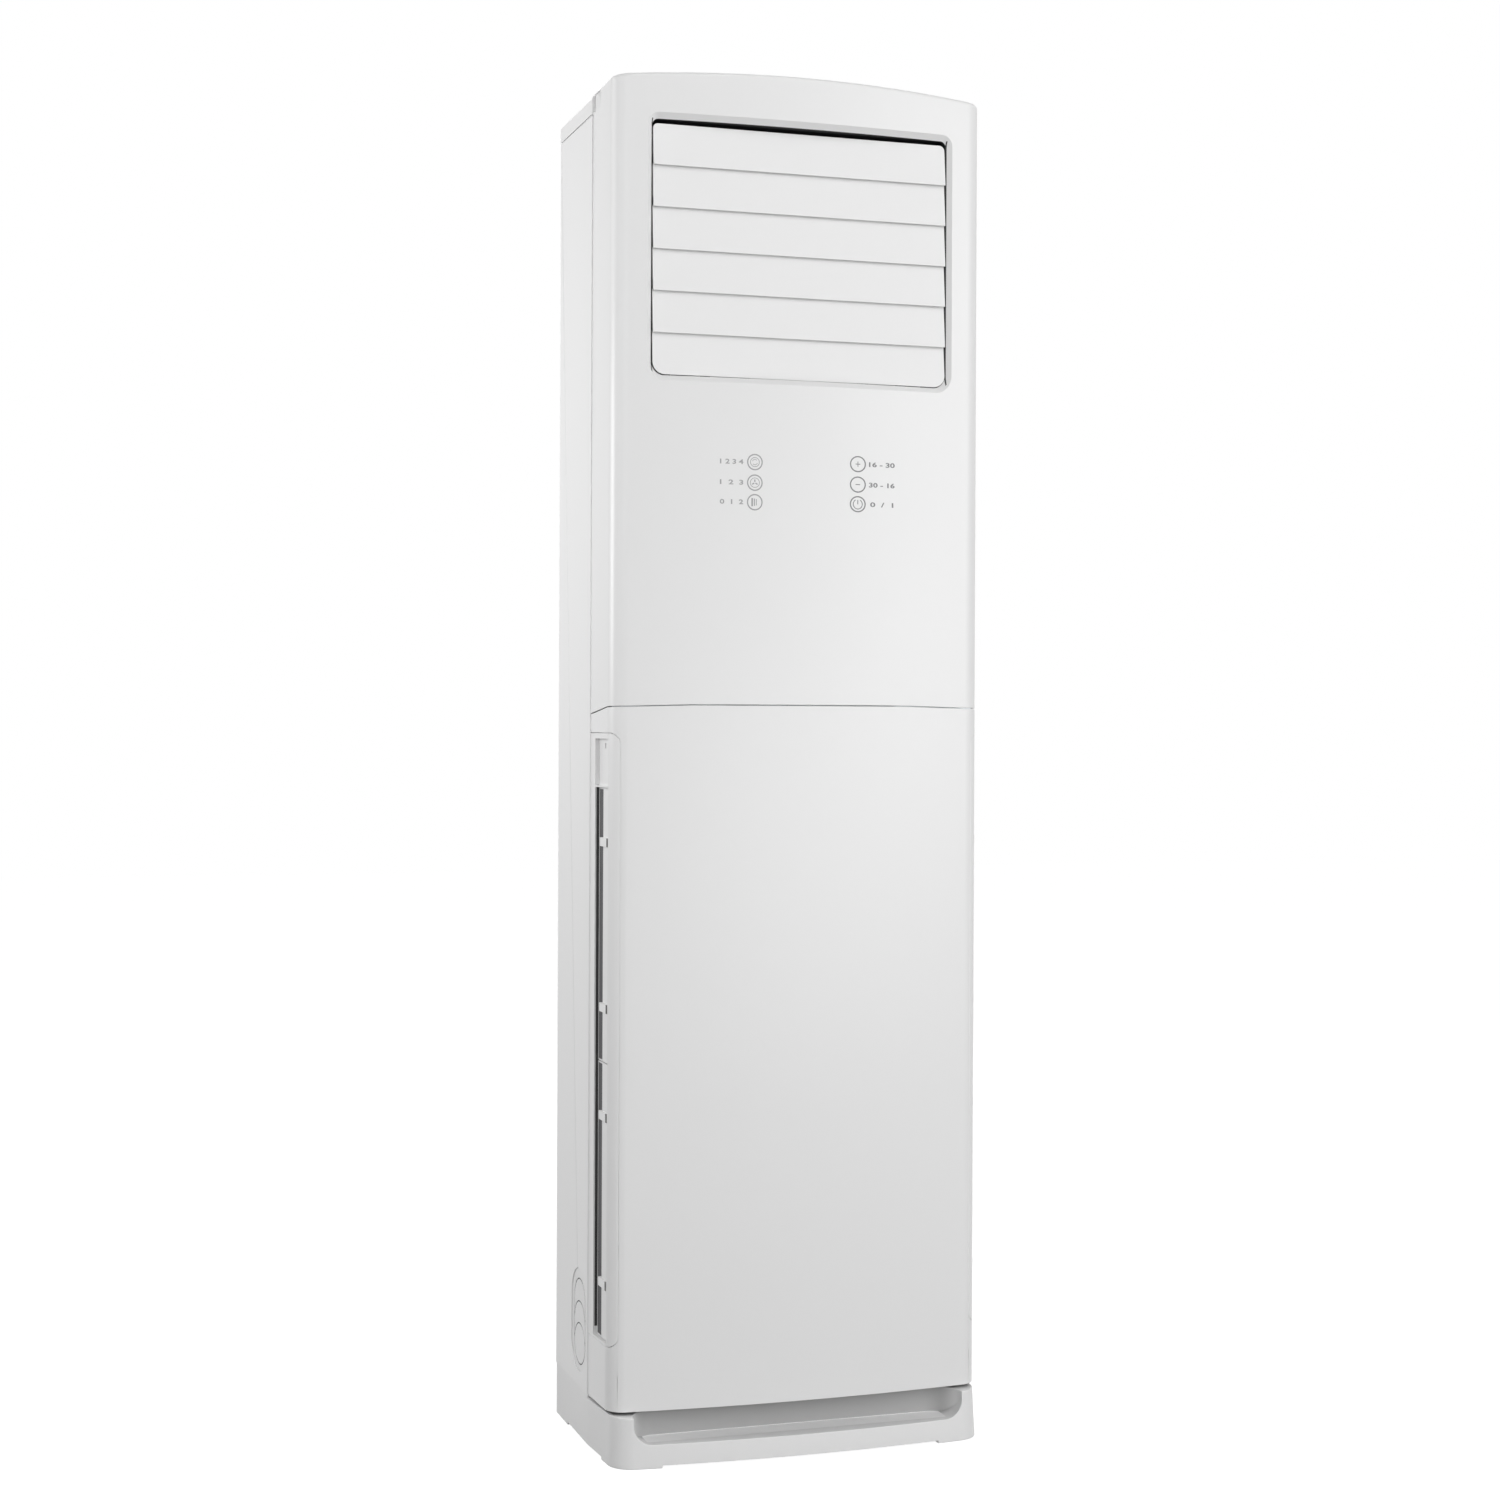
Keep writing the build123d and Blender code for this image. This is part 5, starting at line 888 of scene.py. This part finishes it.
def sign_fan(shape, x, z):
    curved(shape, x, z, 0.0060, 0.0008)
    for turn in (0, 120, 240):
        blade_x = x + BLADE_REACH * math.sin(math.radians(turn))
        blade_z = z + BLADE_REACH * math.cos(math.radians(turn))
        straight(shape, blade_x, blade_z, 0.0016, 0.0032, turn)


def sign_vanes(shape, x, z):
    for offset, width, height in VANE_STROKES:
        straight(shape, x + offset, z, width, height)


signs = {
    "left": (sign_disc, sign_fan, sign_vanes),
    "right": (sign_plus, sign_minus, sign_power),
}
print("signs", sum(len(column) for column in signs.values()))

# %% Rings with their signs
ROWS = {"left": (1.2583, 1.2323, 1.2076), "right": (1.2607, 1.2345, 1.2094)}
COLUMN = {"left": -0.0657, "right": 0.0730}
INK = {"left": print_pale, "right": print_grey}
RING_STRETCH = {"left": 0.99, "right": 1.06}
RING_RADIUS = 0.0096
RING_WIDTH = 0.0016
for side, x in COLUMN.items():
    for row, (z, sign) in enumerate(zip(ROWS[side], signs[side]), start=1):
        shape = bmesh.new()
        curved(shape, x, z, RING_RADIUS, RING_WIDTH, stretch=RING_STRETCH[side])
        sign(shape, x, z)
        piece = print_piece(shape, f"touch_mark_{side}_{row}", INK[side])
        print(piece.name, "faces", len(piece.data.polygons))

# %% [markdown]
# ## Figures beside the marks
#
# Plain figures stand beside the rings: the settings that each field steps through.
# They start as text, which is turned into a mesh before it is moved, and are then laid on the
# face in the same way as the rings.

# %% Figures
FIGURE_SIZE = 0.0082
FIGURE_WEIGHT = 0.00022


def figures(body, x, z, width, name, finish):
    """A row of figures of one width, its middle at x, z."""
    words = bpy.data.curves.new(name, "FONT")
    words.body = body
    words.size = FIGURE_SIZE
    words.offset = FIGURE_WEIGHT
    words.extrude = PRINT_DEPTH / 2
    words.align_x, words.align_y = "CENTER", "CENTER"
    words.resolution_u = 3
    holder = bpy.data.objects.new(name, words)
    scene.collection.objects.link(holder)
    bpy.context.view_layer.update()
    drawn = holder.evaluated_get(bpy.context.evaluated_depsgraph_get())
    shape = bmesh.new()
    shape.from_mesh(bpy.data.meshes.new_from_object(drawn))
    bpy.data.objects.remove(holder)
    bmesh.ops.remove_doubles(shape, verts=shape.verts, dist=1e-7)
    across = [vert.co.x for vert in shape.verts]
    up = [vert.co.y for vert in shape.verts]
    middle_x, middle_y = (min(across) + max(across)) / 2, (min(up) + max(up)) / 2
    stretch = width / (max(across) - min(across))
    bmesh.ops.translate(shape, vec=(-middle_x, -middle_y, 0), verts=shape.verts)
    bmesh.ops.scale(shape, vec=(stretch, 1, 1), verts=shape.verts)
    turned(shape, shape.verts, 90, "X")
    bmesh.ops.translate(shape, vec=(x, PRINT_MIDDLE, z), verts=shape.verts)
    piece = print_piece(shape, name, finish)
    print(name, "faces", len(piece.data.polygons), "stretch", round(stretch, 2))


# %% Rows of figures
LEFT_MIDDLE, LEFT_WIDTH = -0.0961, 0.0305
RIGHT_MIDDLE, RIGHT_WIDTH = 0.1063, 0.0360
rows_of_figures = (
    ("left", 1, "1 2 3 4", LEFT_MIDDLE, LEFT_WIDTH),
    ("left", 2, "1  2  3", LEFT_MIDDLE, LEFT_WIDTH),
    ("left", 3, "0  1  2", LEFT_MIDDLE, LEFT_WIDTH),
    ("right", 1, "16 - 30", RIGHT_MIDDLE, RIGHT_WIDTH),
    ("right", 2, "30 - 16", RIGHT_MIDDLE, RIGHT_WIDTH),
    ("right", 3, "0  /  1", RIGHT_MIDDLE, RIGHT_WIDTH * 0.9),
)
for side, row, body, x, width in rows_of_figures:
    figures(body, x, ROWS[side][row - 1], width, f"figures_{side}_{row}", INK[side])

# %% [markdown]
# ## Screws
#
# Two kinds of sheet joint show from behind and above: the deck inside is screwed to the back
# sheet's pressed field, and the top cover is screwed down near its rear corners. Such sheets
# have low wafer-head screws. A head is a short cone, and its cross is two flat bars laid in.

# %% Screw heads
HEAD_RADIUS, HEAD_HEIGHT, HEAD_SUNK = 0.0042, 0.0008, 0.0003
CROSS_LENGTH, CROSS_WIDTH, CROSS_HEIGHT = HEAD_RADIUS * 1.05, HEAD_RADIUS * 0.22, 0.0001


def screw(name, place, turn):
    """A wafer-head screw at a place; the turn brings its +Z head to face outwards."""
    shape = bmesh.new()
    bmesh.ops.create_cone(
        shape, cap_ends=True, segments=20, radius1=HEAD_RADIUS, radius2=HEAD_RADIUS * 0.8,
        depth=HEAD_HEIGHT,
    )
    head_middle = HEAD_HEIGHT / 2 - HEAD_SUNK
    bmesh.ops.translate(shape, vec=(0, 0, head_middle), verts=shape.verts)
    for angle in (0, 90):
        bar = bmesh.ops.create_cube(shape, size=1.0)["verts"]
        bmesh.ops.scale(shape, vec=(CROSS_LENGTH, CROSS_WIDTH, CROSS_HEIGHT), verts=bar)
        turned(shape, bar, angle, "Z")
        bmesh.ops.translate(shape, vec=(0, 0, HEAD_HEIGHT - HEAD_SUNK), verts=bar)
    in_place = Matrix.Translation(place) @ turn.to_4x4()
    bmesh.ops.transform(shape, matrix=in_place, verts=shape.verts)
    piece = piece_from(shape, name, steel.material)
    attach(piece, "cabinet")


# %% Screws in their places
FIELD_DEPTH = 0.004
DECK_SCREW_DROP = 0.006
FROM_SIDE, FROM_BACK = 0.03, 0.02
rearward = Matrix.Rotation(math.radians(-90), 3, "X")
upward = Matrix.Identity(3)
field_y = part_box("back_panel")[1][1] - FIELD_DEPTH
deck_screw_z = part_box("deck")[1][2] - DECK_SCREW_DROP
for number, x in enumerate((-0.15, 0.0, 0.15), start=1):
    screw(f"deck_screw_{number}", (x, field_y, deck_screw_z), rearward)
for number, x in enumerate((cover_low[0] + FROM_SIDE, cover_high[0] - FROM_SIDE), start=1):
    screw(f"cover_screw_{number}", (x, cover_high[1] - FROM_BACK, COVER_PLATE_TOP), upward)
print("screws at", round(deck_screw_z, 4), "and", round(COVER_PLATE_TOP, 4))

# %% [markdown]
# ## Last step
#
# The last line updates the view layer.

# %% Finish
bpy.context.view_layer.update()
